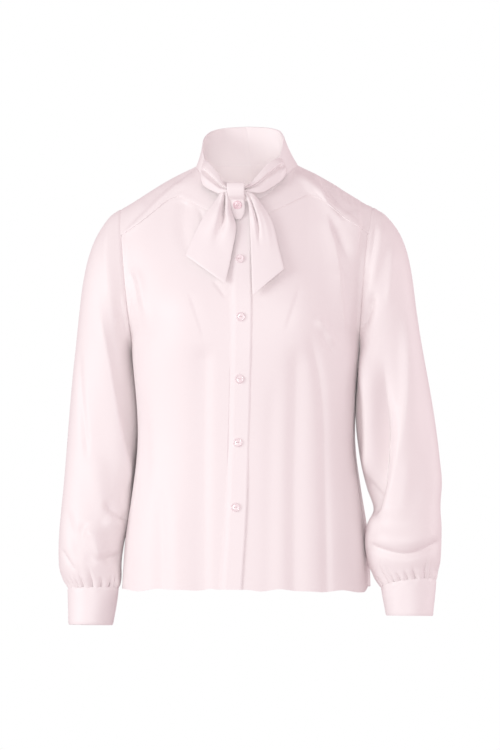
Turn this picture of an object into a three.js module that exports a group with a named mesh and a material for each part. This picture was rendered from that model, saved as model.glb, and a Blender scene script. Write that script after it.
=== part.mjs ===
// A woman's long-sleeved blouse in crepe satin, filled out as on a body, with a stand collar,
// a necktie drawn through a buttoned keeper tab, bishop sleeves and deep cuffs.
// Millimetres. +Z is up, the front faces -Y, and the wearer's left is +X.
// The origin is the middle of the neck at the height of the shoulder points.
import * as THREE from 'three';

// Driving sizes of the cloth
const BODY_WALL = 1.2;
const SLEEVE_WALL = 1.2;
const FACED_WALL = 1.8;
const TIE_WALL = 1.5;
const SEAM_GAP = 0.32;
const LAY_GAP = 0.35;
const EDGE_BEVEL = 0.45;

// Driving sizes of the placket, keeper tab and buttons
const PLACKET_HALF = 15.8;
const PLACKET_WALL = 1.3;
const STAND_WALL = 1;
const PANEL_EDGE = 14.8;
const BUTTON_RADIUS = 6.6;
const BUTTON_PITCH = [-141, -225.5, -315.5, -408, -502];
const CUFF_BUTTON_RADIUS = 5;

// Armhole angles: 0 is the underarm, 90 the front, 180 the shoulder tip, 270 the back
const YOKE_FRONT_ANGLE = 127;
const YOKE_BACK_ANGLE = 360 - YOKE_FRONT_ANGLE;
const ARMHOLE_STEPS = 9;
const YOKE_END_STEPS = 6;

// Mesh steps
const PANEL_ACROSS = 11;
const PANEL_BELOW_ARM = 9;
const YOKE_DEEP = 4;
const COLLAR_HIGH = 3;
const GATHERS = 16;

const rad = THREE.MathUtils.degToRad;
const lerp = THREE.MathUtils.lerp;
const clamp = THREE.MathUtils.clamp;
const smooth = (value, low, high) => THREE.MathUtils.smoothstep(value, low, high);
const point = (x, y, z) => new THREE.Vector3(x, y, z);
const steps = (low, high, count) => Array.from({ length: count + 1 }, (_, i) => lerp(low, high, i / count));

// Names the columns of a short table: each row of numbers becomes an object.
function table(names, rows) {
  return rows.map((row) => Object.fromEntries(names.map((name, i) => [name, row[i]])));
}

// A named column of a table at any station, by a cubic that passes through each row without overshoot.
function column(rows, key, name, at) {
  const last = rows.length - 1;
  const x = rows.map((row) => row[key]);
  const y = rows.map((row) => row[name]);
  if (at <= x[0]) return y[0];
  if (at >= x[last]) return y[last];
  const rise = x.slice(1).map((value, i) => (y[i + 1] - y[i]) / (value - x[i]));
  const slope = y.map((_, i) => {
    if (i === 0) return rise[0];
    if (i === last) return rise[last - 1];
    return rise[i - 1] * rise[i] <= 0 ? 0 : (2 * rise[i - 1] * rise[i]) / (rise[i - 1] + rise[i]);
  });
  const i = x.findIndex((value, j) => j > 0 && at <= value) - 1;
  const span = x[i + 1] - x[i];
  const t = (at - x[i]) / span;
  return (
    y[i] * (1 + 2 * t) * (1 - t) ** 2 +
    slope[i] * span * t * (1 - t) ** 2 +
    y[i + 1] * t * t * (3 - 2 * t) +
    slope[i + 1] * span * t * t * (t - 1)
  );
}

// Sections of the sleeves from the armhole (0) to the cuff's lower edge. Outer and inner are the ends
// of a section away from and next to the body, front and back its depth, lean how far its front is tipped up.
const SLEEVE_COLUMNS = ['at', 'outerX', 'outerZ', 'innerX', 'innerZ', 'front', 'back', 'lean'];
const LEFT_SLEEVE = table(SLEEVE_COLUMNS, [
  [0, 188, -61, 170, -268, -54, 54, 0],
  [1, 202.5, -68, 170.8, -277, -58, 57, 0],
  [2, 217, -83, 171.4, -287, -60, 59, 0],
  [3, 229.5, -103, 171.6, -299, -61, 60, 0],
  [4, 239, -130, 171, -313, -61, 59, 0],
  [5, 246, -165, 170, -329, -60, 58, 0],
  [6, 252, -210, 168.6, -347, -59, 57, 0],
  [7, 260, -262, 167.2, -368, -59, 57, 0.02],
  [8, 269.5, -318, 164.6, -391, -60, 56, 0.04],
  [9, 279, -376, 164.8, -416, -62, 52, 0.06],
  [10, 287, -432, 169.5, -446, -66, 45, 0.08],
  [11, 291, -470, 180, -478, -71, 38, 0.1],
  [12, 289, -505, 192, -509, -76, 31, 0.12],
  [13, 290.5, -535, 182.5, -533, -87, 25, 0.15],
  [14, 290, -559, 179.5, -557, -91, 20, 0.18],
  [15, 288, -583, 184, -586, -89, 13, 0.2],
  [16, 283, -601, 192.5, -606, -83, 4, 0.22],
  [17, 281.5, -611, 204, -622, -78, -8, 0.24],
  [18, 279.5, -636, 208, -641, -79, -14, 0.17],
  [19, 277, -663, 212, -663, -81, -20, 0.1],
]);
const RIGHT_SLEEVE = table(SLEEVE_COLUMNS, [
  [0, 188, -61, 170, -268, -54, 54, 0],
  [1, 202, -70, 170.8, -277, -58, 57, 0],
  [2, 216, -87, 171.4, -287, -60, 59, 0],
  [3, 228.5, -109, 171.6, -299, -61, 60, 0],
  [4, 238, -137, 171, -313, -61, 59, 0],
  [5, 245, -172, 170, -329, -60, 58, 0],
  [6, 250, -214, 168.6, -347, -59, 57, 0],
  [7, 255, -264, 167.2, -368, -59, 57, 0.02],
  [8, 260.5, -320, 166, -391, -60, 56, 0.04],
  [9, 265, -378, 166.3, -416, -62, 52, 0.06],
  [10, 268.5, -434, 168, -446, -66, 42, 0.08],
  [11, 271, -478, 169.3, -478, -72, 30, 0.1],
  [12, 273.5, -512, 172.3, -508, -79, 22, 0.11],
  [13, 275.5, -544, 176.6, -536, -85, 16, 0.12],
  [14, 276.5, -572, 182, -563, -87, 12, 0.12],
  [15, 275.5, -596, 185, -588, -85, 8, 0.12],
  [16, 269.5, -615, 185.5, -609, -81, 0, 0.12],
  [17, 261.5, -628, 189, -626, -76, -10, 0.12],
  [18, 260.5, -652, 192.5, -652, -77, -15, 0.12],
  [19, 259, -681, 197, -681, -80, -21, 0.12],
]);
const CUFF_TOP = 17;
const CUFF_FOOT = 19;

// Folds of a sleeve: from one section to another, drifting round from one angle to another.
const FOLD_COLUMNS = ['from', 'to', 'angleFrom', 'angleTo', 'width', 'depth'];
const LEFT_SLEEVE_FOLDS = table(FOLD_COLUMNS, [
  [4, 12.6, 146, 42, 17, 6],
  [2.5, 8.5, 34, 62, 15, -6],
  [6.5, 12.5, 62, 22, 20, -9],
  [5, 12, 172, 150, 14, -3],
  [11, 14.6, 60, 128, 44, 6],
  [3, 12, 232, 262, 20, -5],
  [4, 13, 300, 286, 18, 4],
]);
const RIGHT_SLEEVE_FOLDS = table(FOLD_COLUMNS, [
  [3.2, 12.4, 92, 46, 16, 5],
  [3, 12, 52, 20, 18, -8],
  [4.5, 12, 132, 150, 15, -3],
  [11.6, 13.4, 40, 92, 22, -5],
  [12, 15.4, 62, 96, 30, 6],
  [3, 12, 232, 262, 20, -5],
  [4, 13, 300, 286, 18, 4],
]);

// How far the sleeve's cloth stands out from its plain section: folds, and gathers above the cuff.
function sleeveFold(folds, at, angle) {
  const sum = folds.reduce((total, fold) => {
    const share = (at - fold.from) / (fold.to - fold.from);
    if (share <= 0 || share >= 1) return total;
    const middle = lerp(fold.angleFrom, fold.angleTo, share);
    const away = ((angle - middle + 540) % 360) - 180;
    return total + fold.depth * Math.exp(-((away / fold.width) ** 2)) * Math.sin(Math.PI * share) ** 0.7;
  }, 0);
  const gather = smooth(at, 13.6, 16.2) * lerp(2.9, 2.1, smooth(at, 16.2, CUFF_TOP));
  return sum + (at > CUFF_TOP ? 0 : gather * Math.cos(rad(angle * GATHERS)));
}

// A point of a sleeve or cuff. side is +1 on the wearer's left and -1 on the right.
function sleevePoint(side, at, angle, out = 0) {
  const rows = side > 0 ? LEFT_SLEEVE : RIGHT_SLEEVE;
  const folds = side > 0 ? LEFT_SLEEVE_FOLDS : RIGHT_SLEEVE_FOLDS;
  const [outerX, outerZ, innerX, innerZ, front, back, lean] = SLEEVE_COLUMNS.slice(1).map((name) =>
    column(rows, 'at', name, at),
  );
  const away = -Math.cos(rad(angle));
  const ahead = Math.sin(rad(angle));
  const stand = out + (at > CUFF_TOP ? 0 : sleeveFold(folds, at, angle));
  const halfWidth = Math.hypot(outerX - innerX, outerZ - innerZ) / 2;
  const halfDepth = (back - front) / 2;
  const spread = 1 + stand / halfWidth;
  const y = (front + back) / 2 - (halfDepth + stand) * ahead;
  const x = (outerX + innerX) / 2 + ((outerX - innerX) / 2) * away * spread;
  const z = (outerZ + innerZ) / 2 + ((outerZ - innerZ) / 2) * away * spread + lean * halfDepth * ahead;
  return point(side * x, y, z);
}

// Rows of the body panels. at: 0 hem, 1 underarm, 2 yoke seam. height and depth are those of the middle
// line, half and sideZ those of the side seam, turn how far round the panel comes at its outer edge.
const BODY_COLUMNS = ['at', 'height', 'sideZ', 'half', 'depth', 'turn'];
const FRONT = table(BODY_COLUMNS, [
  [0, -621, -630, 183, -124, 90],
  [0.18, -560, -560, 180, -121, 90],
  [0.4, -480, -480, 169, -115, 90],
  [0.6, -405, -405, 160.5, -110, 90],
  [0.8, -330, -330, 164, -113, 90],
  [1, -268, -268, 170, -117, 90],
  [1.35, -205, 0, 0, -116, 78],
  [1.7, -142, 0, 0, -104, 66],
  [2, -80, 0, 0, -84, 58],
]);
const BACK = table(BODY_COLUMNS, [
  [0, -624, -630, 183, 117, 90],
  [0.18, -560, -560, 180, 115, 90],
  [0.4, -480, -480, 169, 106, 90],
  [0.6, -405, -405, 160.5, 94, 90],
  [0.8, -330, -330, 164, 96, 90],
  [1, -268, -268, 170, 102, 90],
  [1.4, -200, 0, 0, 104, 78],
  [1.7, -149, 0, 0, 99, 68],
  [2, -98, 0, 0, 88, 60],
]);
const SIDE_SEAM_Y = 2;
const HEM_CORNER = 5;
const ROW_BEND = 1.4;
const PLAN_FULLNESS = 0.86;
const ARMHOLE_EASE = { share: 0.6, reach: 0.2 };

// How far a row stands forward, from its outer edge (sweep 0) to its middle (1): a full arc, which above
// the underarm is drawn in beside the armhole so that it runs on into the sleeve.
function bulge(sweep, at) {
  const drawn = ARMHOLE_EASE.share * smooth(at, 1, 1.3) * Math.exp(-((sweep / ARMHOLE_EASE.reach) ** 2));
  return sweep ** PLAN_FULLNESS * (1 - drawn);
}

// The yoke seam climbs from the front edge to a peak beside the neck, then falls to the armhole.
const YOKE_SEAM_RISE = table(['across', 'rise'], [
  [0, 0], [0.08, 2], [0.17, 9], [0.29, 23], [0.39, 36], [0.46, 43], [0.54, 39], [0.65, 26], [0.82, 9], [1, 0],
]);
const SHOULDER_SLOPE = 0.62;

// The front edge leans to the wearer's right towards the hem.
const FRONT_SWING = table(['z', 'x'], [
  [-621, -12], [-502, -5], [-408, -2.5], [-315, 0.5], [-225, 2.5], [-141, 0], [-54, 0],
]);
const BUST = { x: 88, z: -222, width: 50, height: 56, stand: 13 };

// Folds of the front, as straight stretches in the front view.
const CREASE_COLUMNS = ['x1', 'z1', 'x2', 'z2', 'width', 'depth'];
const FRONT_CREASES = table(CREASE_COLUMNS, [
  [-82, -30, -86, -170, 9, -4],
  [-168, -140, -156, -250, 9, -5],
  [-73, -175, -46, -262, 8, -3],
  [-50, -240, -55, -640, 19, -6],
  [-106, -330, -112, -640, 22, 3],
  [112, -70, 152, -262, 10, -5],
  [100, -30, 124, -96, 9, -5],
  [88, -175, 63, -258, 8, -3],
  [66, -235, 83, -640, 19, -6],
  [100, -235, 128, -640, 14, -4],
  [108, -222, 140, -272, 9, 4],
]);
const BACK_CREASES = table(CREASE_COLUMNS, [
  [-62, -250, -80, -640, 24, -6],
  [58, -250, 76, -640, 24, -6],
  [0, -300, 4, -640, 26, 4],
  [-150, -120, -118, -330, 16, -5],
  [150, -120, 120, -330, 16, -5],
]);

// How far the cloth stands out at a place in the front view, from the creases near it.
function creaseStand(creases, x, z) {
  return creases.reduce((total, crease) => {
    const run = [crease.x2 - crease.x1, crease.z2 - crease.z1];
    const length = Math.hypot(...run);
    const along = ((x - crease.x1) * run[0] + (z - crease.z1) * run[1]) / length ** 2;
    const off = ((x - crease.x1) * run[1] - (z - crease.z1) * run[0]) / length;
    const fade = smooth(along, 0, 0.3) * (1 - smooth(along, 0.85, 1.05));
    return total + crease.depth * Math.exp(-((off / crease.width) ** 2)) * fade;
  }, 0);
}

// A point of the front (face -1) or back (face +1). across runs from -1 to 1 between the outer edges.
function bodyPoint(face, across, at, out = 0) {
  const rows = face < 0 ? FRONT : BACK;
  const side = Math.sign(across) || 1;
  const share = Math.abs(across);
  const [height, sideZ, half, depth, turn] = BODY_COLUMNS.slice(1).map((name) => column(rows, 'at', name, at));
  const angle = (at - 1) * YOKE_FRONT_ANGLE;
  const edge =
    at >= 1 ? sleevePoint(side, 0, face < 0 ? angle : 360 - angle) : point(side * half, SIDE_SEAM_Y * (1 - at), sideZ);
  const sweep = (Math.cos(rad(turn * share)) - Math.cos(rad(turn))) / (1 - Math.cos(rad(turn)));
  const rise = face < 0 ? column(YOKE_SEAM_RISE, 'across', 'rise', share) * clamp(at - 1, 0, 1) ** 3 : 0;
  const x = (edge.x * Math.sin(rad(turn * share))) / Math.sin(rad(turn));
  const corner = HEM_CORNER * smooth(share, 0.88, 1) * (1 - smooth(at, 0, 0.1));
  const z = lerp(height, edge.z, share ** ROW_BEND) + rise + corner;
  const bust = Math.exp(-(((Math.abs(x) - BUST.x) / BUST.width) ** 2) - ((z - BUST.z) / BUST.height) ** 2);
  const relief =
    face < 0 ? BUST.stand * bust + creaseStand(FRONT_CREASES, x, z) : creaseStand(BACK_CREASES, x, z);
  const rim = 1 - smooth(share, 0.86, 1);
  const stand = out + relief * rim;
  const swing = face < 0 ? column(FRONT_SWING, 'z', 'x', z) * (1 - share) : 0;
  const tilt = rad(turn * share);
  return point(
    x + swing + side * stand * Math.sin(tilt),
    lerp(edge.y, depth, bulge(sweep, at)) + SHOULDER_SLOPE * rise + face * stand * Math.cos(tilt),
    z,
  );
}

// Neckline (seam of the collar) and collar rim, from the front (0) round to the back (180).
const NECK = table(['angle', 'x', 'y', 'z', 'rimX', 'rimY', 'rimZ'], [
  [0, 0, -70, -54, 0, -67, -27],
  [20, 25, -66, -50, 22, -62, -25],
  [40, 47, -54, -34, 41, -48, -12],
  [60, 63, -34, -13, 54, -31, 10],
  [75, 71, -17, -2, 59, -17, 28],
  [90, 75, 3, 3, 59.5, -3, 42],
  [120, 67, 38, 7, 52, 25, 57],
  [150, 40, 59, 9, 29, 43, 65],
  [180, 0, 66, 10, 0, 49, 67],
]);
const RIM_SHIFT = -4.8;
const COLLAR_HOLLOW = 1.5;

function collarPoint(side, angle, up, out = 0) {
  const [x, y, z, rimX, rimY, rimZ] = ['x', 'y', 'z', 'rimX', 'rimY', 'rimZ'].map((name) =>
    column(NECK, 'angle', name, angle),
  );
  const bow = out - COLLAR_HOLLOW * Math.sin(Math.PI * up);
  const turn = rad(angle);
  return point(
    side * (lerp(x, rimX, up) + bow * Math.sin(turn)) + RIM_SHIFT * up,
    lerp(y, rimY, up) - bow * Math.cos(turn),
    lerp(z, rimZ, up),
  );
}

// Joins rings or rows of points into one outer sheet. A ring may have twice the points of the one before it.
function sheet(rows, loop) {
  const points = rows.flat();
  const first = rows.map((_, i) => rows.slice(0, i).reduce((sum, row) => sum + row.length, 0));
  const triangles = [];
  rows.slice(1).forEach((row, i) => {
    const count = rows[i].length;
    const ratio = row.length / count;
    const wrap = (j, n) => (loop ? j % n : j);
    for (let j = 0; j < (loop ? count : count - 1); j += 1) {
      const a = first[i] + j;
      const b = first[i] + wrap(j + 1, count);
      const next = steps(0, ratio, ratio).map((k) => first[i + 1] + wrap(j * ratio + k, row.length));
      if (ratio === 1) triangles.push([a, b, next[1]], [a, next[1], next[0]]);
      else triangles.push([a, b, next[1]], [a, next[1], next[0]], [b, next[2], next[1]]);
    }
  });
  return { points, triangles };
}

// Turns a sheet into a closed wall: an outer face, an inner face at the wall's thickness, and its edges.
// The inner face stops a little short of each edge, so that pieces that meet at an angle clear each other.
// flip says that the rows run so that the sheet faces inwards.
function wall(name, rows, thickness, colour, { loop = false, flip = false } = {}) {
  const { points, triangles } = sheet(rows, loop);
  const faces = flip ? triangles.map(([a, b, c]) => [a, c, b]) : triangles;
  const normals = points.map(() => point(0, 0, 0));
  faces.forEach(([a, b, c]) => {
    const across = points[b].clone().sub(points[a]);
    const area = across.cross(points[c].clone().sub(points[a]));
    [a, b, c].forEach((i) => normals[i].add(area));
  });
  const count = points.length;
  const edges = new Set(faces.flatMap(([a, b, c]) => [`${a},${b}`, `${b},${c}`, `${c},${a}`]));
  const rims = [...edges].map((edge) => edge.split(',').map(Number)).filter(([a, b]) => !edges.has(`${b},${a}`));
  const inner = points.map((p, i) => p.clone().addScaledVector(normals[i].normalize(), -thickness));
  rims.forEach(([a, b]) => {
    const inwards = normals[a].clone().cross(points[b].clone().sub(points[a])).setLength(EDGE_BEVEL);
    [a, b].forEach((i) => inner[i].addScaledVector(inwards, 0.5));
  });
  const index = [
    ...faces,
    ...faces.map(([a, b, c]) => [a + count, c + count, b + count]),
    ...rims.flatMap(([a, b]) => [[b, a, a + count], [b, a + count, b + count]]),
  ];
  const geometry = new THREE.BufferGeometry();
  const position = [...points, ...inner].flatMap((p) => [p.x, p.y, p.z]);
  geometry.setAttribute('position', new THREE.Float32BufferAttribute(position, 3));
  geometry.setIndex(index.flat());
  return piece(name, geometry, colour);
}

const CLOTH = { color: 0xf6e6e7, roughness: 0.55, metalness: 0 };
const CLOTH_FACED = { color: 0xf8eaeb, roughness: 0.5, metalness: 0 };
const PEARL = { color: 0xf7ecec, roughness: 0.22, metalness: 0 };

function piece(name, geometry, finish) {
  const mesh = new THREE.Mesh(geometry, new THREE.MeshStandardMaterial(finish));
  mesh.name = name;
  return mesh;
}

// Draws the ends of each row, or of the whole set of rows, in by half a seam gap.
function trim(row) {
  const pull = (end, next) => end.clone().add(next.clone().sub(end).setLength(SEAM_GAP / 2));
  return [pull(row[0], row[1]), ...row.slice(1, -1), pull(row[row.length - 1], row[row.length - 2])];
}

function trimEnds(rows) {
  const columns = rows[0].map((_, j) => trim(rows.map((row) => row[j])));
  return rows.map((_, i) => columns.map((points) => points[i]));
}

const bodyStations = () => [...steps(0, 1, PANEL_BELOW_ARM), ...steps(1, 2, ARMHOLE_STEPS).slice(1)];

// The share of the panel's width at which a row reaches the distance x from the middle.
function acrossAt(face, x, at) {
  const reach = Math.abs(bodyPoint(face, 1, at).x);
  const turn = column(face < 0 ? FRONT : BACK, 'at', 'turn', at);
  return (Math.sign(x) * Math.asin((Math.abs(x) * Math.sin(rad(turn))) / reach)) / rad(turn);
}

// Places across a front row, from its edge beside the placket to the side seam or armhole.
const frontAcross = (side, at) => steps(acrossAt(-1, side * PANEL_EDGE, at), side, PANEL_ACROSS);

function frontPanel(side, name) {
  const rows = bodyStations().map((at) => trim(frontAcross(side, at).map((s) => bodyPoint(-1, s, at))));
  return wall(name, trimEnds(rows), BODY_WALL, CLOTH, { flip: side < 0 });
}

function backPanel() {
  const rows = bodyStations().map((at) => trim(steps(-1, 1, 2 * PANEL_ACROSS).map((s) => bodyPoint(1, s, at))));
  return wall('back', trimEnds(rows), BODY_WALL, CLOTH, { flip: true });
}

// Where each column of the yoke meets the neckline, and how far it crowns out in the middle.
const YOKE_FRONT_COLUMNS = table(['across', 'neck', 'crownY', 'crownZ'], [
  [0, 0, 0, 0], [0.0673, 11.9, 0, 0], [0.25, 38, -1.5, 1], [0.46, 66, -5, 3], [0.7, 76, -8, 6], [1, 82, -9, 7],
]);
const YOKE_BACK_COLUMNS = table(['across', 'neck', 'crownY', 'crownZ'], [
  [0, 180, 6, 4], [0.35, 146, 8, 5], [0.6, 122, 9, 6], [0.8, 108, 9, 7], [1, 98, 9, 7],
]);

// One side of the yoke's columns from the placket over the shoulder to the middle of the back.
function yokeColumns(side) {
  const front = frontAcross(side, 2).map((across) => ({
    outer: bodyPoint(-1, across, 2),
    ...yokeSeat(YOKE_FRONT_COLUMNS, Math.abs(across)),
  }));
  const shoulder = steps(0, 1, YOKE_END_STEPS).slice(1, -1).map((share) => ({
    outer: sleevePoint(side, 0, lerp(YOKE_FRONT_ANGLE, YOKE_BACK_ANGLE, share)),
    neck: lerp(82, 98, share),
    crownY: lerp(-9, 9, share),
    crownZ: 7 - 2.5 * Math.sin(Math.PI * share),
  }));
  const back = steps(side, 0, PANEL_ACROSS).map((across) => ({
    outer: bodyPoint(1, across, 2),
    ...yokeSeat(YOKE_BACK_COLUMNS, Math.abs(across)),
  }));
  return [...front, ...shoulder, ...back].map((place) => ({ side, ...place }));
}

function yokeSeat(rows, across) {
  const [neck, crownY, crownZ] = ['neck', 'crownY', 'crownZ'].map((name) => column(rows, 'across', name, across));
  return { neck, crownY, crownZ };
}

function yokePoint(place, share) {
  const inner = collarPoint(place.side, place.neck, 0);
  const crown = Math.sin(Math.PI * share);
  return inner.lerp(place.outer, share).add(point(0, place.crownY * crown, place.crownZ * crown));
}

function yokePlaces() {
  return [...yokeColumns(1), ...yokeColumns(-1).reverse().slice(1)];
}

function yoke() {
  const places = yokePlaces();
  const rows = steps(1, 0, YOKE_DEEP).map((share) => trim(places.map((place) => yokePoint(place, share))));
  return wall('yoke', trimEnds(rows), BODY_WALL, CLOTH);
}

function collar() {
  const places = yokePlaces();
  const rows = steps(0, 1, COLLAR_HIGH).map((up) =>
    places.map((place) => collarPoint(place.side, place.neck, up).add(point(0, 0, SEAM_GAP * 1.4))),
  );
  return wall('collar', rows, FACED_WALL, CLOTH_FACED);
}

// A point on the front's middle band, from the hem (0) past the yoke seam (2) to the neckline (3).
function middlePoint(x, at, out) {
  const low = bodyPoint(-1, acrossAt(-1, x, Math.min(at, 2)), Math.min(at, 2), out);
  const angle = column(NECK.slice(0, 2), 'x', 'angle', Math.abs(x));
  const high = collarPoint(Math.sign(x) || 1, angle, 0, out * 1.25);
  return low.lerp(high, clamp(at - 2, 0, 1));
}

const MIDDLE_STATIONS = [...bodyStations(), 2.5, 2.97];

function middleBand(name, half, out, thickness) {
  const rows = MIDDLE_STATIONS.map((at) => trim(steps(-half, half, 4).map((x) => middlePoint(x, at, out))));
  return wall(name, trimEnds(rows), thickness, CLOTH_FACED);
}

// A button as one turned body: flat back, rounded rim and dished face, seated on a place with a facing.
const BUTTON_PROFILE = [[0, 0], [0.88, 0], [1, 0.2], [0.9, 0.42], [0.7, 0.3], [0, 0.26]];
const BUTTON_SEGMENTS = 14;
const BUTTON_LIFT = 0.6;

function button(name, radius, seat, facing) {
  const profile = BUTTON_PROFILE.map(([r, h]) => new THREE.Vector2(r * radius, h * radius));
  const geometry = new THREE.LatheGeometry(profile, BUTTON_SEGMENTS);
  const turn = new THREE.Quaternion().setFromUnitVectors(point(0, 1, 0), facing.clone().normalize());
  geometry.applyQuaternion(turn);
  const place = seat.clone().addScaledVector(facing.clone().normalize(), BUTTON_LIFT);
  geometry.translate(place.x, place.y, place.z);
  return piece(name, geometry, PEARL);
}

const PLACKET_OUT = LAY_GAP + PLACKET_WALL;

function frontButtons() {
  return BUTTON_PITCH.map((z, i) => {
    const at = column(table(['z', 'at'], FRONT.map((row) => [row.height, row.at])), 'z', 'at', z);
    const seat = middlePoint(0, at, PLACKET_OUT);
    const along = middlePoint(0, at + 0.02, PLACKET_OUT).sub(middlePoint(0, at - 0.02, PLACKET_OUT));
    return button(`button_${i + 2}`, BUTTON_RADIUS, seat, point(1, 0, 0).cross(along));
  });
}

// The keeper tab: a strip from the collar's rim, over the crossed tie bands, to its round buttoned end.
const TAB = table(['at', 'x', 'y', 'z', 'half'], [
  [0, -7.5, -77, -29, 12.3],
  [0.1, -7.5, -88.7, -30, 12.5],
  [0.25, -7.4, -91.4, -37, 12.4],
  [0.42, -7, -89.5, -46, 11.4],
  [0.54, -6.4, -82.4, -53, 10.2],
  [0.7, -5.6, -81.6, -61, 10],
  [0.84, -4.8, -84, -70, 9.6],
  [0.93, -4.3, -87, -77, 8],
  [0.98, -4, -88.6, -80.5, 5],
  [1, -3.9, -89, -81.6, 2.6],
]);
const TAB_BUTTON = 0.7;
const TAB_BUTTON_OUT = -0.85;

function tabPoint(at, across) {
  const [x, y, z, half] = ['x', 'y', 'z', 'half'].map((name) => column(TAB, 'at', name, at));
  return point(x + across * half, y, z);
}

function tab() {
  const rows = steps(1, 0, 12).map((at) => steps(-1, 1, 4).map((across) => tabPoint(at, across)));
  return wall('keeper_tab', rows, FACED_WALL, CLOTH_FACED);
}

function tabButton() {
  const along = tabPoint(TAB_BUTTON - 0.03, 0).sub(tabPoint(TAB_BUTTON + 0.03, 0));
  return button('button_1', BUTTON_RADIUS, tabPoint(TAB_BUTTON, 0).add(point(0, TAB_BUTTON_OUT, 0)), point(1, 0, 0).cross(along));
}

// The tie's band on each side, from the side of the neck to the tab: its upper and lower edges.
const BAND_COLUMNS = ['at', 'upX', 'upY', 'upZ', 'lowX', 'lowY', 'lowZ'];
const LEFT_BAND = table(BAND_COLUMNS, [
  [0, 56, -29, 12, 64, -34, -5],
  [0.3, 49, -48, 10, 61, -50, -17],
  [0.6, 33, -63, -3, 45, -68, -33],
  [0.82, 19, -74, -21, 25, -80, -43],
  [0.93, 7, -80, -33, 9, -84, -42],
  [1, -4, -82, -36.5, -4, -84, -41.5],
]);
const RIGHT_BAND = table(BAND_COLUMNS, [
  [0, -62, -29, 11, -65, -36, -12],
  [0.3, -52, -49, 5, -61, -55, -27],
  [0.6, -37, -64, -12, -46, -71, -38],
  [0.82, -27, -75, -27, -31, -81, -43],
  [0.93, -19.5, -80, -33, -21, -84, -42],
  [1, -9, -82, -35.5, -9, -84, -41],
]);
const BAND_CROWN = 6;
const BAND_SLIT = { across: 0.56, width: 0.13, depth: 6 };
const BAND_ROOT = { angleLow: 60, angleUp: 66, upLow: 0.15, upUp: 0.78, reach: 0.2 };

// The band's sewn end lies on the side of the collar and swells out from there.
function bandPoint(side, at, across, out = 0) {
  const rows = side > 0 ? LEFT_BAND : RIGHT_BAND;
  const [upX, upY, upZ, lowX, lowY, lowZ] = BAND_COLUMNS.slice(1).map((name) => column(rows, 'at', name, at));
  const slit = BAND_SLIT.depth * Math.exp(-(((across - BAND_SLIT.across) / BAND_SLIT.width) ** 2));
  const crown = BAND_CROWN * Math.sin(Math.PI * across) ** 0.8 * (1 - 0.55 * at) * smooth(at, -0.16, 0.25);
  const stand = out + crown - slit * smooth(at, 0.08, 0.3) * (1 - 0.4 * at);
  const turn = side * lerp(48, 6, at);
  const { angleLow, angleUp, upLow, upUp, reach } = BAND_ROOT;
  const rootOut = LAY_GAP + TIE_WALL + out;
  const root = collarPoint(side, lerp(angleLow, angleUp, across), lerp(upLow, upUp, across), rootOut);
  const free = point(
    lerp(lowX, upX, across) + stand * Math.sin(rad(turn)),
    lerp(lowY, upY, across) - stand * Math.cos(rad(turn)),
    lerp(lowZ, upZ, across),
  );
  return root.lerp(free, smooth(at, 0, reach));
}

function tieBand(side, name) {
  const rows = steps(0, 1, 9).map((at) => steps(0, 1, 10).map((across) => bandPoint(side, at, across)));
  return wall(name, rows, TIE_WALL, CLOTH_FACED, { flip: side > 0 });
}

// The tie's hanging ends: inner and outer edges in the front view, and how far they stand off the front.
const TAIL_COLUMNS = ['at', 'inX', 'inZ', 'outX', 'outZ', 'inOff', 'outOff'];
const LEFT_TAIL = table(TAIL_COLUMNS, [
  [0, 5, -41, 15, -42, 9.5, 9],
  [0.15, 12, -63, 27, -57, 8.5, 9],
  [0.4, 15, -98, 46, -88, 7, 8],
  [0.7, 18, -147, 56, -124, 7, 9],
  [1, 21, -194, 65, -156, 9, 12],
]);
const RIGHT_TAIL = table(TAIL_COLUMNS, [
  [0, -19.5, -42, -31, -42, 9, 9],
  [0.15, -16.5, -64, -40, -58, 6.4, 9],
  [0.42, -7, -96, -56, -81, 6.4, 8],
  [0.7, -12, -134, -69, -108, 7, 7],
  [1, -20, -177, -80, -135, 7, 7],
]);
const TAIL_LEAST = 5.2;
const TAIL_ROOT = { left: [0.955, 0.885], right: [0.94, 0.825], reach: 0.15, drop: 0.55 };
const TAIL_FOLDS = table(['side', 'across', 'to', 'width', 'depth'], [
  [1, 0.36, 0.62, 0.12, -6],
  [1, 0.72, 0.9, 0.16, 2.5],
  [-1, 0.42, 0.6, 0.12, -7],
  [-1, 0.22, 0.75, 0.12, 3],
  [-1, 0.7, 0.8, 0.16, 2.5],
]);

// A point of the front's outer face above the hem: 0 hem, 2 yoke seam, 3 neckline.
function frontPoint(x, at) {
  const across = acrossAt(-1, x, Math.min(at, 2));
  const outer = bodyPoint(-1, across, Math.min(at, 2));
  if (at <= 2) return outer;
  return yokePoint({ side: Math.sign(x), outer, ...yokeSeat(YOKE_FRONT_COLUMNS, Math.abs(across)) }, 3 - at);
}

// The place on the front that has this distance from the middle and this height, by halving.
function frontAt(x, z) {
  let [low, high] = [0, 3];
  for (let i = 0; i < 18; i += 1) {
    const middle = (low + high) / 2;
    if (frontPoint(x, middle).z < z) low = middle;
    else high = middle;
  }
  return frontPoint(x, low);
}

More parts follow.
